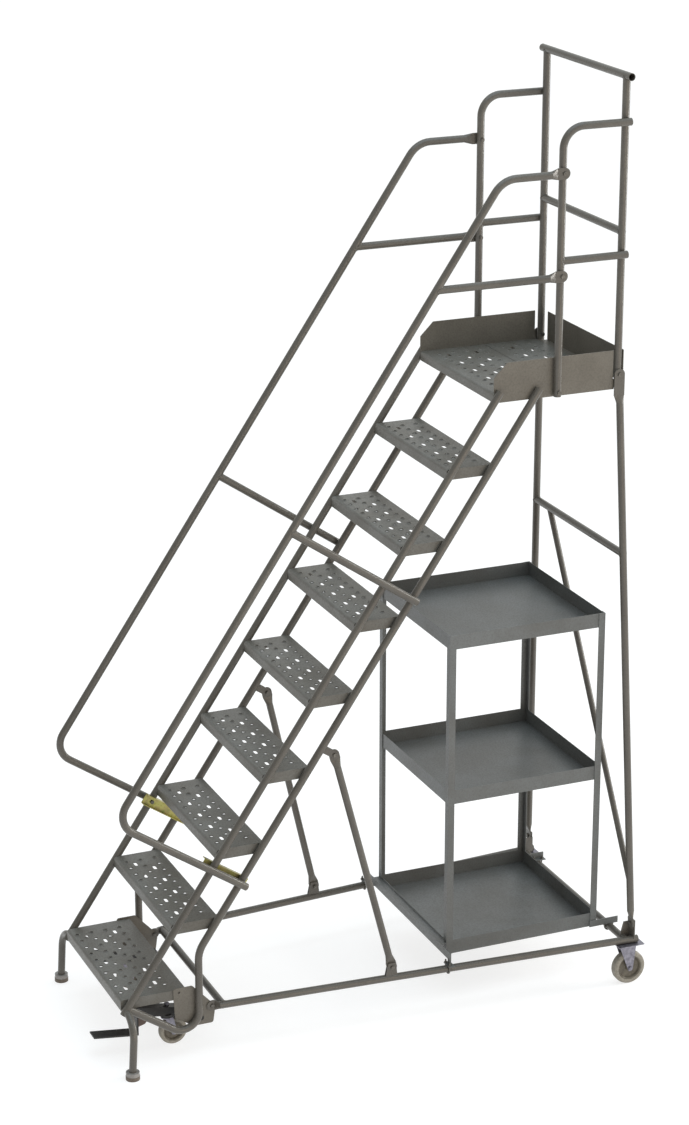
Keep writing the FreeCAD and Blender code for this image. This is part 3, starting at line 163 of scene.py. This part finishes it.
def add_node(material, kind, inputs=None, **settings):
    """A node with its properties set and its inputs given as values or as links."""
    tree = material.node_tree
    made = tree.nodes.new(kind)
    for key, value in settings.items():
        setattr(made, key, value)
    for key, value in (inputs or {}).items():
        if isinstance(value, bpy.types.NodeSocket):
            tree.links.new(value, made.inputs[key])
        else:
            made.inputs[key].default_value = value
    return made


def per_metre(size_mm):
    """The noise scale that draws features of a real size."""
    return 1000.0 / size_mm


# %% [markdown]
# A sprayed finish is never one flat colour. The coat is a little thicker here and there, dust settles on
# it, and the surface has the soft ripple called orange peel. The recipe mixes three shades with a broad
# and a fine noise, lets the fine one move the roughness too, and takes the ripple as bump. Real orange
# peel is 1 to 2 mm across; it is drawn at 5 mm here so that it still shows on an object this tall.

# %% Recipe for a sprayed enamel
PEEL_MM = 5.0
PEEL_DEPTH = 0.00025
SPECK_MM = 6.0


def sprayed_enamel(name, base, light, dark, roughness, cloud_mm=260.0):
    """A sprayed coat of three shades, with broad clouds, fine specks and orange peel."""
    material = bpy.data.materials.new(name)
    material.use_nodes = True
    shader = material.node_tree.nodes["Principled BSDF"]
    where = add_node(material, "ShaderNodeTexCoord").outputs["Object"]
    cloud = add_node(material, "ShaderNodeTexNoise",
                     {"Vector": where, "Scale": per_metre(cloud_mm), "Detail": 3.0, "Roughness": 0.55})
    speck = add_node(material, "ShaderNodeTexNoise",
                     {"Vector": where, "Scale": per_metre(SPECK_MM), "Detail": 4.0, "Roughness": 0.6})
    cloud_share = add_node(material, "ShaderNodeMapRange",
                           {"Value": cloud.outputs["Fac"], "From Min": 0.35, "From Max": 0.65})
    speck_share = add_node(material, "ShaderNodeMapRange",
                           {"Value": speck.outputs["Fac"], "From Min": 0.42, "From Max": 0.7,
                            "To Max": 0.45})
    coat = add_node(material, "ShaderNodeMix",
                    {"Factor": cloud_share.outputs["Result"], "A": paint_chart(base),
                     "B": paint_chart(light)}, data_type="RGBA")
    dusty = add_node(material, "ShaderNodeMix",
                     {"Factor": speck_share.outputs["Result"], "B": paint_chart(dark)}, data_type="RGBA")
    material.node_tree.links.new(coat.outputs["Result"], dusty.inputs["A"])
    material.node_tree.links.new(dusty.outputs["Result"], shader.inputs["Base Color"])
    gloss = add_node(material, "ShaderNodeMapRange",
                     {"Value": speck.outputs["Fac"], "From Min": 0.3, "From Max": 0.7,
                      "To Min": roughness - 0.07, "To Max": roughness + 0.09})
    peel = add_node(material, "ShaderNodeTexNoise",
                    {"Vector": where, "Scale": per_metre(PEEL_MM), "Detail": 2.0, "Roughness": 0.5})
    ripple = add_node(material, "ShaderNodeBump",
                      {"Height": peel.outputs["Fac"], "Strength": 0.6, "Distance": PEEL_DEPTH})
    material.node_tree.links.new(gloss.outputs["Result"], shader.inputs["Roughness"])
    material.node_tree.links.new(ripple.outputs["Normal"], shader.inputs["Normal"])
    shader.inputs["IOR"].default_value = 1.5
    return material


# %% [markdown]
# The frame's enamel is a warm mid grey, coloured darker than the sheet parts as painted shade on the round
# tubes. The plates, the steps and the trays take the same paint on flat sheet, lighter and duller. The steps
# and the trays are tinted slightly cooler as painted sky light on their flat tops, and the clouds are
# smaller where shoes wear the sheet. The pedal's arms are black.

# %% The five enamels of the stand
BLACK_COAT = ("#1B1A1A", "#252423", "#121111")
BLACK_ROUGHNESS = 0.42
# The tube coat is darker than the sheet coats of the same paint: painted shade on the round tubes.
grey_enamel = sprayed_enamel("grey_enamel_on_tube", "#54504A", "#5E5A53", "#3B3732", 0.30)
plate_enamel = sprayed_enamel("grey_enamel_on_plate", "#5F5A51", "#6A655C", "#48433C", 0.42,
                              cloud_mm=180.0)
# The steps and the trays are tinted cooler than the plates: painted sky light on their flat tops.
step_enamel = sprayed_enamel("grey_enamel_on_steps", "#5D5A53", "#696863", "#453F38", 0.42,
                             cloud_mm=120.0)
tray_enamel = sprayed_enamel("grey_enamel_on_trays", "#5A5B59", "#656868", "#474542", 0.40,
                             cloud_mm=210.0)
black_enamel = sprayed_enamel("black_enamel_on_pedal", *BLACK_COAT, BLACK_ROUGHNESS)
print("materials so far, with the frame's own:", len(bpy.data.materials))

# %% [markdown]
# The pedal is two pieces in one: a black strap, and behind it a gusset sprayed in brown grey primer. The
# line between the two finishes is the strap's rear face, so the second finish starts beyond that plane.

# %% Two finishes on the pedal
STRAP_REAR_Y = 76.0
PRIMER = "#5C4A40"
pedal_enamel = sprayed_enamel("black_strap_and_primed_gusset", *BLACK_COAT, BLACK_ROUGHNESS)
pedal_shader = pedal_enamel.node_tree.nodes["Principled BSDF"]
pedal_place = add_node(pedal_enamel, "ShaderNodeTexCoord").outputs["Object"]
pedal_axes = add_node(pedal_enamel, "ShaderNodeSeparateXYZ", {"Vector": pedal_place})
behind_strap = add_node(pedal_enamel, "ShaderNodeMath", operation="GREATER_THAN")
pedal_enamel.node_tree.links.new(pedal_axes.outputs["Y"], behind_strap.inputs[0])
behind_strap.inputs[1].default_value = (STRAP_REAR_Y - ROW_CENTRE) * MM
strap_coat = pedal_shader.inputs["Base Color"].links[0].from_socket
two_coats = add_node(pedal_enamel, "ShaderNodeMix",
                     {"Factor": behind_strap.outputs["Value"], "A": strap_coat,
                      "B": paint_chart(PRIMER)}, data_type="RGBA")
pedal_enamel.node_tree.links.new(two_coats.outputs["Result"], pedal_shader.inputs["Base Color"])
print("the second finish starts behind", STRAP_REAR_Y, "mm")

# %% [markdown]
# Zinc plating on the forks and bolts is a thin bright metal that dulls in patches, called spangle when
# it is coarse. Yellow passivated zinc adds a film that shifts between straw, green and rose. Both are
# metals, so they keep the shader's own IOR, and their colour is carried by the reflection. The film on
# the plating keeps the metallic value just under one. The metal's own grain is drawn at 3 mm, coarser
# than it is, so that it still shows.

# %% Recipe for a plated metal
GRAIN_MM = 3.0
PLATED_METALLIC = 0.85


def plated_steel(name, shades, roughness, patch_mm):
    """A plated metal whose shades change from patch to patch."""
    material = bpy.data.materials.new(name)
    material.use_nodes = True
    shader = material.node_tree.nodes["Principled BSDF"]
    where = add_node(material, "ShaderNodeTexCoord").outputs["Object"]
    patch = add_node(material, "ShaderNodeTexNoise",
                     {"Vector": where, "Scale": per_metre(patch_mm), "Detail": 3.0, "Roughness": 0.6})
    film = add_node(material, "ShaderNodeValToRGB", {"Fac": patch.outputs["Fac"]})
    stops = film.color_ramp.elements
    while len(stops) < len(shades):
        stops.new(0.5)
    for index, shade in enumerate(shades):
        stops[index].position = 0.3 + 0.4 * index / (len(shades) - 1)
        stops[index].color = paint_chart(shade)
    gloss = add_node(material, "ShaderNodeMapRange",
                     {"Value": patch.outputs["Fac"], "To Min": roughness - 0.1, "To Max": roughness + 0.12})
    grain = add_node(material, "ShaderNodeTexNoise",
                     {"Vector": where, "Scale": per_metre(GRAIN_MM), "Detail": 2.0})
    tooth = add_node(material, "ShaderNodeBump",
                     {"Height": grain.outputs["Fac"], "Strength": 0.35, "Distance": 0.0001})
    material.node_tree.links.new(film.outputs["Color"], shader.inputs["Base Color"])
    material.node_tree.links.new(gloss.outputs["Result"], shader.inputs["Roughness"])
    material.node_tree.links.new(tooth.outputs["Normal"], shader.inputs["Normal"])
    shader.inputs["Metallic"].default_value = PLATED_METALLIC
    return material


yellow_zinc = plated_steel("yellow_passivated_zinc", ["#8E8A4C", "#A8A462", "#9C8F60", "#858C55"], 0.34,
                           24.0)
bright_zinc = plated_steel("bright_zinc_plate", ["#706E77", "#85838D", "#96949E"], 0.42, 12.0)
dull_zinc = plated_steel("aged_zinc_on_bolts", ["#56534E", "#67645F", "#7A7873"], 0.50, 7.0)
spring_steel = plated_steel("oiled_spring_steel", ["#3C3B3A", "#55524F"], 0.35, 8.0)
print("materials so far, with the frame's own:", len(bpy.data.materials))

# %% [markdown]
# The wheels are moulded: a beige grey thermoplastic rubber tyre on a harder core, coloured darker than the
# tyre as painted shade in the wheel's recess. Moulded rubber is dull, with a fine tooth and scuffs from the
# floor. The foot pads are a brown black rubber under a pale plastic cap. The tooth is drawn at 2.5 mm,
# coarser than it is, so that it still shows.

# %% Recipe for a moulded rubber or plastic
TOOTH_MM = 2.5


def moulded(name, base, scuffed, roughness, scuff_mm):
    """A moulded skin in two shades, with scuffs and a fine tooth."""
    material = bpy.data.materials.new(name)
    material.use_nodes = True
    shader = material.node_tree.nodes["Principled BSDF"]
    where = add_node(material, "ShaderNodeTexCoord").outputs["Object"]
    scuff = add_node(material, "ShaderNodeTexNoise",
                     {"Vector": where, "Scale": per_metre(scuff_mm), "Detail": 5.0, "Roughness": 0.65})
    share = add_node(material, "ShaderNodeMapRange",
                     {"Value": scuff.outputs["Fac"], "From Min": 0.42, "From Max": 0.68})
    skin = add_node(material, "ShaderNodeMix",
                    {"Factor": share.outputs["Result"], "A": paint_chart(base), "B": paint_chart(scuffed)},
                    data_type="RGBA")
    tooth = add_node(material, "ShaderNodeTexNoise",
                     {"Vector": where, "Scale": per_metre(TOOTH_MM), "Detail": 2.0})
    bump = add_node(material, "ShaderNodeBump",
                    {"Height": tooth.outputs["Fac"], "Strength": 0.4, "Distance": 0.0002})
    material.node_tree.links.new(skin.outputs["Result"], shader.inputs["Base Color"])
    material.node_tree.links.new(bump.outputs["Normal"], shader.inputs["Normal"])
    shader.inputs["Roughness"].default_value = roughness
    shader.inputs["IOR"].default_value = 1.5
    return material


tyre_rubber = moulded("beige_grey_tyre_rubber", "#8B867C", "#736E63", 0.62, 9.0)
# The core's darker colour is painted shade of the wheel's recess.
wheel_core = moulded("moulded_wheel_core", "#635D51", "#4E483E", 0.50, 14.0)
pad_rubber = moulded("foot_pad_rubber", "#5B5148", "#6E655A", 0.68, 7.0)
cap_plastic = moulded("foot_cap_polyethylene", "#8D8A87", "#7A7672", 0.48, 12.0)
plug_plastic = moulded("tube_plug_polyethylene", "#6F5D4C", "#5C4C3E", 0.50, 6.0)
print("materials ready, with the frame's own:", len(bpy.data.materials))

# %% [markdown]
# ## Paint the frame
#
# Every sub-part of the engineering model keeps its own shape and gets its finish here. The record names
# a finish slot for each one, so a small table goes from slot to material, and a second one holds the
# few sub-parts that differ: flat plate takes the lighter, duller coat, while the tube coat is darkened
# as painted shade, and bolts have aged.

# %% Give each sub-part its finish
FINISH_OF_SLOT = {
    "grey_steel": grey_enamel, "tread_steel": step_enamel, "tray_steel": tray_enamel,
    "black_steel": black_enamel, "yellow_zinc": yellow_zinc, "bright_zinc": bright_zinc,
    "spring_steel": spring_steel, "wheel_tyre": tyre_rubber, "foot_rubber": pad_rubber,
    "foot_cap": cap_plastic,
}
FINISH_OF_NODE = {
    "kick_plate_left": plate_enamel, "kick_plate_right": plate_enamel, "kick_plate_rear": plate_enamel,
    "platform_frame": plate_enamel, "side_plates": plate_enamel, "frame_bolts": dull_zinc,
    "u_bolts": dull_zinc, "pedal": pedal_enamel,
}
for entry in frame["record"]["subparts"]:
    part = nodes[entry["node"]]
    part.data.materials.clear()
    part.data.materials.append(FINISH_OF_NODE.get(entry["node"], FINISH_OF_SLOT[entry["material_slot"]]))

# %% [markdown]
# ## Raised buttons on the steps
#
# The round holes of a safety tread are punched upwards, and the ring of metal that stands up grips the
# shoe. One ring is turned on the lathe with few faces, because hundreds of copies follow. It is set over
# every round hole, row by row, with the hole pitch of the sheet. For each step the table gives the
# distance from its front edge to the first row, and the number of rows.

# %% One button, then every row of them
HOLE_PITCH = 54.0
BUTTON_OUTLINE = [(-0.2, 6.3), (1.5, 6.5), (1.9, 7.8), (-0.2, 11.0)]
BUTTON_STEPS = 12
HOLES_PER_ROW = 10

button_bm = bmesh.new()
turn(button_bm, BUTTON_OUTLINE, Vector(), (0, 0, 1), BUTTON_STEPS)
button_mesh = bpy.data.meshes.new("button_pattern")
button_bm.to_mesh(button_mesh)
button_bm.free()

ROWS_OF_STEP = {"tread_1": (20.0, 4), "platform_panel_front": (47.0, 4), "platform_panel_rear": (45.0, 3)}
for number in range(2, 9):
    ROWS_OF_STEP["tread_%d" % number] = (25.0, 3)
for step, (first_row, rows) in ROWS_OF_STEP.items():
    low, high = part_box(step)
    bm = bmesh.new()
    for row in range(rows):
        for column in range(HOLES_PER_ROW):
            x = (column - (HOLES_PER_ROW - 1) / 2) * HOLE_PITCH * MM
            y = low.y + (first_row + row * HOLE_PITCH) * MM
            before = len(bm.verts)
            bm.from_mesh(button_mesh)
            bm.verts.ensure_lookup_table()
            bmesh.ops.translate(bm, verts=bm.verts[before:], vec=(x, y, high.z))
    finish_piece(bm, step + "_buttons", "frame", step_enamel)

# %% [markdown]
# ## Wheels
#
# Each wheel is moulded twice: a hard core with a hub, a thin web and a rim, and a softer tyre over it.
# The engineering model has one plain solid, so a tyre and a core take its place. Both are turned on the
# lathe from half an outline, because a wheel is the same on both sides. The tyre has round shoulders
# and a shallow groove along its middle; the core's web is thin, so its hub and rim stand out from it.

# %% Tyres and cores
REAR_RADIUS = 63.5
REAR_WIDTH = 32.0
CASTER_RADIUS = 50.8
CASTER_WIDTH = 30.0
WHEELS = {
    "rear_wheel_left": ("rear_roller_left", REAR_RADIUS, REAR_WIDTH),
    "rear_wheel_right": ("rear_roller_right", REAR_RADIUS, REAR_WIDTH),
    "caster_wheel_left": ("caster_roller_left", CASTER_RADIUS, CASTER_WIDTH),
    "caster_wheel_right": ("caster_roller_right", CASTER_RADIUS, CASTER_WIDTH),
}
BORE = 5.05
SEAT_SHARE = 0.74
WHEEL_STEPS = 64


def both_sides(half_outline):
    """An outline and its mirror image in the wheel's middle plane."""
    return half_outline + [(-along, out) for along, out in reversed(half_outline)]


for wheel, (roller, radius, width) in WHEELS.items():
    low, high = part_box(wheel)
    axle = (low + high) / 2
    half = width / 2
    seat = SEAT_SHARE * radius
    tyre_half = [
        (0.0, radius - 0.8), (1.2, radius), (half - 7.0, radius - 0.2), (half - 3.0, radius - 1.6),
        (half - 0.9, radius - 5.0), (half - 0.3, radius - 9.0), (half - 0.4, seat + 1.2), (half - 1.2, seat),
    ]
    tyre_outline = [(-along, out) for along, out in reversed(tyre_half[1:])] + tyre_half
    tyre_bm = bmesh.new()
    turn(tyre_bm, tyre_outline, axle, (1, 0, 0), WHEEL_STEPS)
    tyre = finish_piece(tyre_bm, wheel + "_tyre", roller, tyre_rubber)
    core_half = [
        (half, BORE), (half, 11.0), (half - 1.0, 12.4), (4.6, 14.0), (3.2, 16.5), (3.2, seat - 12.0),
        (5.0, seat - 8.0), (half - 3.0, seat - 5.0), (half - 1.8, seat - 4.0), (half - 1.8, seat - 0.1),
    ]
    core_bm = bmesh.new()
    turn(core_bm, both_sides(core_half), axle, (1, 0, 0), WHEEL_STEPS)
    finish_piece(core_bm, wheel + "_core", roller, wheel_core)
    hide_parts(wheel)

# %% [markdown]
# ## Plugs in the open tube ends
#
# The lower ends of the handrails point back under the stair, and each is closed with a moulded plug: a
# low dome with a rim that covers the edge of the tube, and a stem that goes inside it. The end is where
# the handrail's low leg stops, square to the stair and some way out from the sloping line.

# %% Handrail plugs
LOW_LEG_Z = 942.7
LOW_LEG_LENGTH = 570.0
PLUG_STEPS = 32
PLUG_OUTLINE = [(-14.0, 0.01), (-14.0, 10.6), (-0.1, 11.3), (-0.1, 13.2), (1.6, 13.2), (3.0, 11.6),
                (3.8, 7.0), (4.0, 0.01)]
handrail_end = Vector((0, handrail_y(LOW_LEG_Z), LOW_LEG_Z)) + ACROSS_STAIR * LOW_LEG_LENGTH
plug_bm = bmesh.new()
for side in SIDES:
    centre = place(side * HANDRAIL_HALF, handrail_end.y, handrail_end.z)
    turn(plug_bm, PLUG_OUTLINE, centre, ACROSS_STAIR, PLUG_STEPS)
finish_piece(plug_bm, "handrail_plugs", "frame", plug_plastic)

# %% [markdown]
# ## Welds
#
# Where one tube meets another its end is coped to the other's curve, and a bead of weld runs round the
# joint. A bead is a ring of small cross-section. It starts as a flat ring round the branch tube, and
# each of its points is then pushed along the branch until it lies on the main tube, which bends the ring
# into the saddle shape of a real joint. A ripple in its thickness is the rhythm of the welder's hand.

# %% A bead that follows the saddle between two tubes
BEAD_RADIUS = 2.0
BEAD_STANDOFF = 0.4
BEAD_STEPS = 40
BEAD_SECTION = 6
RIPPLES = 13
RIPPLE_DEPTH = 0.18


def weld_bead(bm, joint, branch, main, radius=TUBE_RADIUS):
    """A rippled ring round a branch tube, pushed along it onto the main tube's surface."""
    branch = Vector(branch).normalized()
    main = Vector(main).normalized()
    first = branch.cross(main).normalized()
    second = branch.cross(first).normalized()
    flat_branch = branch - main * branch.dot(main)
    rings = []
    for step in range(BEAD_STEPS):
        turn_angle = math.tau * step / BEAD_STEPS
        outward = first * math.cos(turn_angle) + second * math.sin(turn_angle)
        offset = outward * (radius + BEAD_STANDOFF)
        flat_offset = offset - main * offset.dot(main)
        a = flat_branch.length_squared
        b = flat_offset.dot(flat_branch)
        c = flat_offset.length_squared - radius ** 2
        reach = (-b + math.sqrt(max(b * b - a * c, 0.0))) / a
        thickness = BEAD_RADIUS * (1 + RIPPLE_DEPTH * math.sin(RIPPLES * turn_angle))
        centre = joint + (offset + branch * reach) * MM
        ring = []
        for corner in range(BEAD_SECTION):
            angle = math.tau * corner / BEAD_SECTION
            spread = outward * math.cos(angle) + branch * math.sin(angle)
            ring.append(bm.verts.new(centre + spread * thickness * MM))
        rings.append([bm.edges.new((ring[i - 1], ring[i])) for i in range(BEAD_SECTION)])
    for index in range(BEAD_STEPS):
        bmesh.ops.bridge_loops(bm, edges=rings[index - 1] + rings[index])


# %% [markdown]
# The joints are listed by where the two centre lines meet, which way the branch leaves, and which way
# the main tube runs. The left and right sides mirror each other. From the top of the list down they are
# the handrail's tie and middle rail, the guard's middle rail, the two bars between the rear posts, the
# cross bar between the rear legs, and the two cross tubes of the base, whose side tubes splay outwards.

# %% Weld the tube joints
TIE_Z = 1897.6
HANDRAIL_RAIL_Z = 2676.6
GUARD_HALF = 319.0
GUARD_POST_Y = 1613.5
GUARD_RAIL_Z = 2726.9
REAR_POST_HALF = 296.0
REAR_POST_Y = 1858.0
REAR_BAR_Z = 2803.0
REAR_TOP_Z = 3336.4
LEG_BAR_HALF = 341.0
LEG_BAR_Y = 1878.65
LEG_BAR_Z = 1648.6
LEG_OUTWARD = 0.0576
LEG_BACKWARD = 0.0273
BASE_Z = 172.4
BASE_HALF = 294.6
BASE_SPLAY = 0.07
CROSS_TUBES_Y = (354.0, 1895.0)

leg_run = Vector((LEG_OUTWARD, LEG_BACKWARD, -1.0)).normalized()
bm = bmesh.new()
for side in SIDES:
    handrail_x = side * HANDRAIL_HALF
    inward = (-side, 0, 0)
    weld_bead(bm, place(handrail_x, handrail_y(TIE_Z), TIE_Z), ACROSS_STAIR, UP_STAIR)
    weld_bead(bm, place(handrail_x, handrail_y(HANDRAIL_RAIL_Z), HANDRAIL_RAIL_Z), (0, 1, 0), UP_STAIR)
    weld_bead(bm, place(side * GUARD_HALF, GUARD_POST_Y, GUARD_RAIL_Z), (0, 1, 0), (0, 0, 1))
    weld_bead(bm, place(side * REAR_POST_HALF, REAR_POST_Y, REAR_BAR_Z), inward, (0, 0, 1))
    weld_bead(bm, place(side * REAR_POST_HALF, REAR_POST_Y, REAR_TOP_Z), (0, 0, -1), (1, 0, 0))
    weld_bead(bm, place(side * LEG_BAR_HALF, LEG_BAR_Y, LEG_BAR_Z), inward,
              (side * leg_run.x, leg_run.y, leg_run.z))
    for cross_y in CROSS_TUBES_Y:
        base_x = BASE_HALF + BASE_SPLAY * cross_y
        weld_bead(bm, place(side * base_x, cross_y, BASE_Z), inward, (side * BASE_SPLAY, 1, 0))
finish_piece(bm, "tube_weld_beads", "frame", grey_enamel)

# %% [markdown]
# ## Floor, light and camera
#
# A wide pale floor runs past the horizon, so no edge shows, and it glows a little, as a studio sweep lit
# from behind does, which keeps the shadows on it soft.

# %% Floor
FLOOR_HALF = 80.0
FLOOR_GLOW = 0.72
floor_bm = bmesh.new()
bmesh.ops.create_grid(floor_bm, x_segments=1, y_segments=1, size=FLOOR_HALF)
floor_mesh = bpy.data.meshes.new("studio_floor")
floor_bm.to_mesh(floor_mesh)
floor_bm.free()
studio_floor = bpy.data.objects.new("studio_floor", floor_mesh)
bpy.context.scene.collection.objects.link(studio_floor)
floor_paint = bpy.data.materials.new("white_studio_floor")
floor_paint.use_nodes = True
floor_shader = floor_paint.node_tree.nodes["Principled BSDF"]
floor_shader.inputs["Base Color"].default_value = paint_chart("#A0A0A0")
floor_shader.inputs["Emission Color"].default_value = (1.0, 1.0, 1.0, 1.0)
floor_shader.inputs["Emission Strength"].default_value = FLOOR_GLOW
floor_shader.inputs["Roughness"].default_value = 0.9
floor_mesh.materials.append(floor_paint)
print("floor", 2 * FLOOR_HALF, "m wide")

# %% [markdown]
# Daylight from an overcast dome is the base of the light. It is dimmer towards the front of the stair and
# brighter behind it, so each tube gets a dark and a light side. It is warm at the horizon and cool
# overhead.

# %% Sky dome
DIM_SIDE = 0.45
BRIGHT_SIDE = 1.35
HORIZON_TINT = (1.0, 0.94, 0.86, 1.0)
ZENITH_TINT = (0.84, 0.94, 1.0, 1.0)
sky = bpy.data.worlds.new("overcast_dome")
sky.use_nodes = True
background = sky.node_tree.nodes["Background"]
direction = add_node(sky, "ShaderNodeTexCoord").outputs["Generated"]
parts_of_direction = add_node(sky, "ShaderNodeSeparateXYZ", {"Vector": direction})
side_share = add_node(sky, "ShaderNodeMapRange",
                      {"Value": parts_of_direction.outputs["Y"], "From Min": -1.0, "From Max": 1.0,
                       "To Min": DIM_SIDE, "To Max": BRIGHT_SIDE})
tint = add_node(sky, "ShaderNodeMix",
                {"Factor": parts_of_direction.outputs["Z"], "A": HORIZON_TINT, "B": ZENITH_TINT},
                data_type="RGBA")
sky.node_tree.links.new(tint.outputs["Result"], background.inputs["Color"])
sky.node_tree.links.new(side_share.outputs["Result"], background.inputs["Strength"])
bpy.context.scene.world = sky
print("sky from", DIM_SIDE, "in front to", BRIGHT_SIDE, "behind")

# %% [markdown]
# A large cool panel overhead brings out the flat tops, a tall one behind the stand draws a light line
# down the right side of each tube, and a low warm one tints the side faces. Sizes and places are in
# metres, and powers in watts.

# %% Light panels
def light_panel(name, where, target, width, height, power, colour):
    """A rectangular soft light that faces a point."""
    lamp = bpy.data.lights.new(name, "AREA")
    lamp.shape = "RECTANGLE"
    lamp.size = width
    lamp.size_y = height
    lamp.energy = power
    lamp.color = colour
    holder = bpy.data.objects.new(name, lamp)
    holder.location = where
    holder.rotation_euler = (Vector(target) - Vector(where)).to_track_quat("-Z", "Y").to_euler()
    bpy.context.scene.collection.objects.link(holder)
    print(name, power, "W")


light_panel("overhead_panel", where=(0.5, 0.0, 8.0), target=(0, 0, 1.5), width=6.0, height=6.0,
            power=150.0, colour=(0.72, 0.88, 1.0))
light_panel("back_right_panel", where=(1.2, 7.0, 3.0), target=(0, 0, 1.6), width=2.0, height=4.0,
            power=260.0, colour=(1.0, 0.97, 0.92))
light_panel("low_warm_panel", where=(8.5, 1.5, 0.9), target=(0, 0, 1.4), width=5.0, height=3.0,
            power=100.0, colour=(1.0, 0.76, 0.52))

# %% [markdown]
# A long lens stands well back, to the right of the stair's front and above its rails, and looks down on
# the steps.

# %% Camera
CAMERA_PLACE = (8.9997, -3.81885, 5.0493)
CAMERA_AZIMUTH = 66.94
CAMERA_ELEVATION = 19.25
CAMERA_LENS = 94.16
SENSOR_WIDTH = 36.0
FARTHEST_VIEW = 300.0
camera_data = bpy.data.cameras.new("studio_camera")
camera_data.lens = CAMERA_LENS
camera_data.sensor_width = SENSOR_WIDTH
camera_data.clip_end = FARTHEST_VIEW
camera = bpy.data.objects.new("studio_camera", camera_data)
camera.location = CAMERA_PLACE
camera.rotation_euler = (math.radians(90 - CAMERA_ELEVATION), 0.0, math.radians(CAMERA_AZIMUTH))
bpy.context.scene.collection.objects.link(camera)
bpy.context.scene.camera = camera
bpy.context.scene.view_settings.view_transform = "Standard"
print("camera with a", CAMERA_LENS, "mm lens")
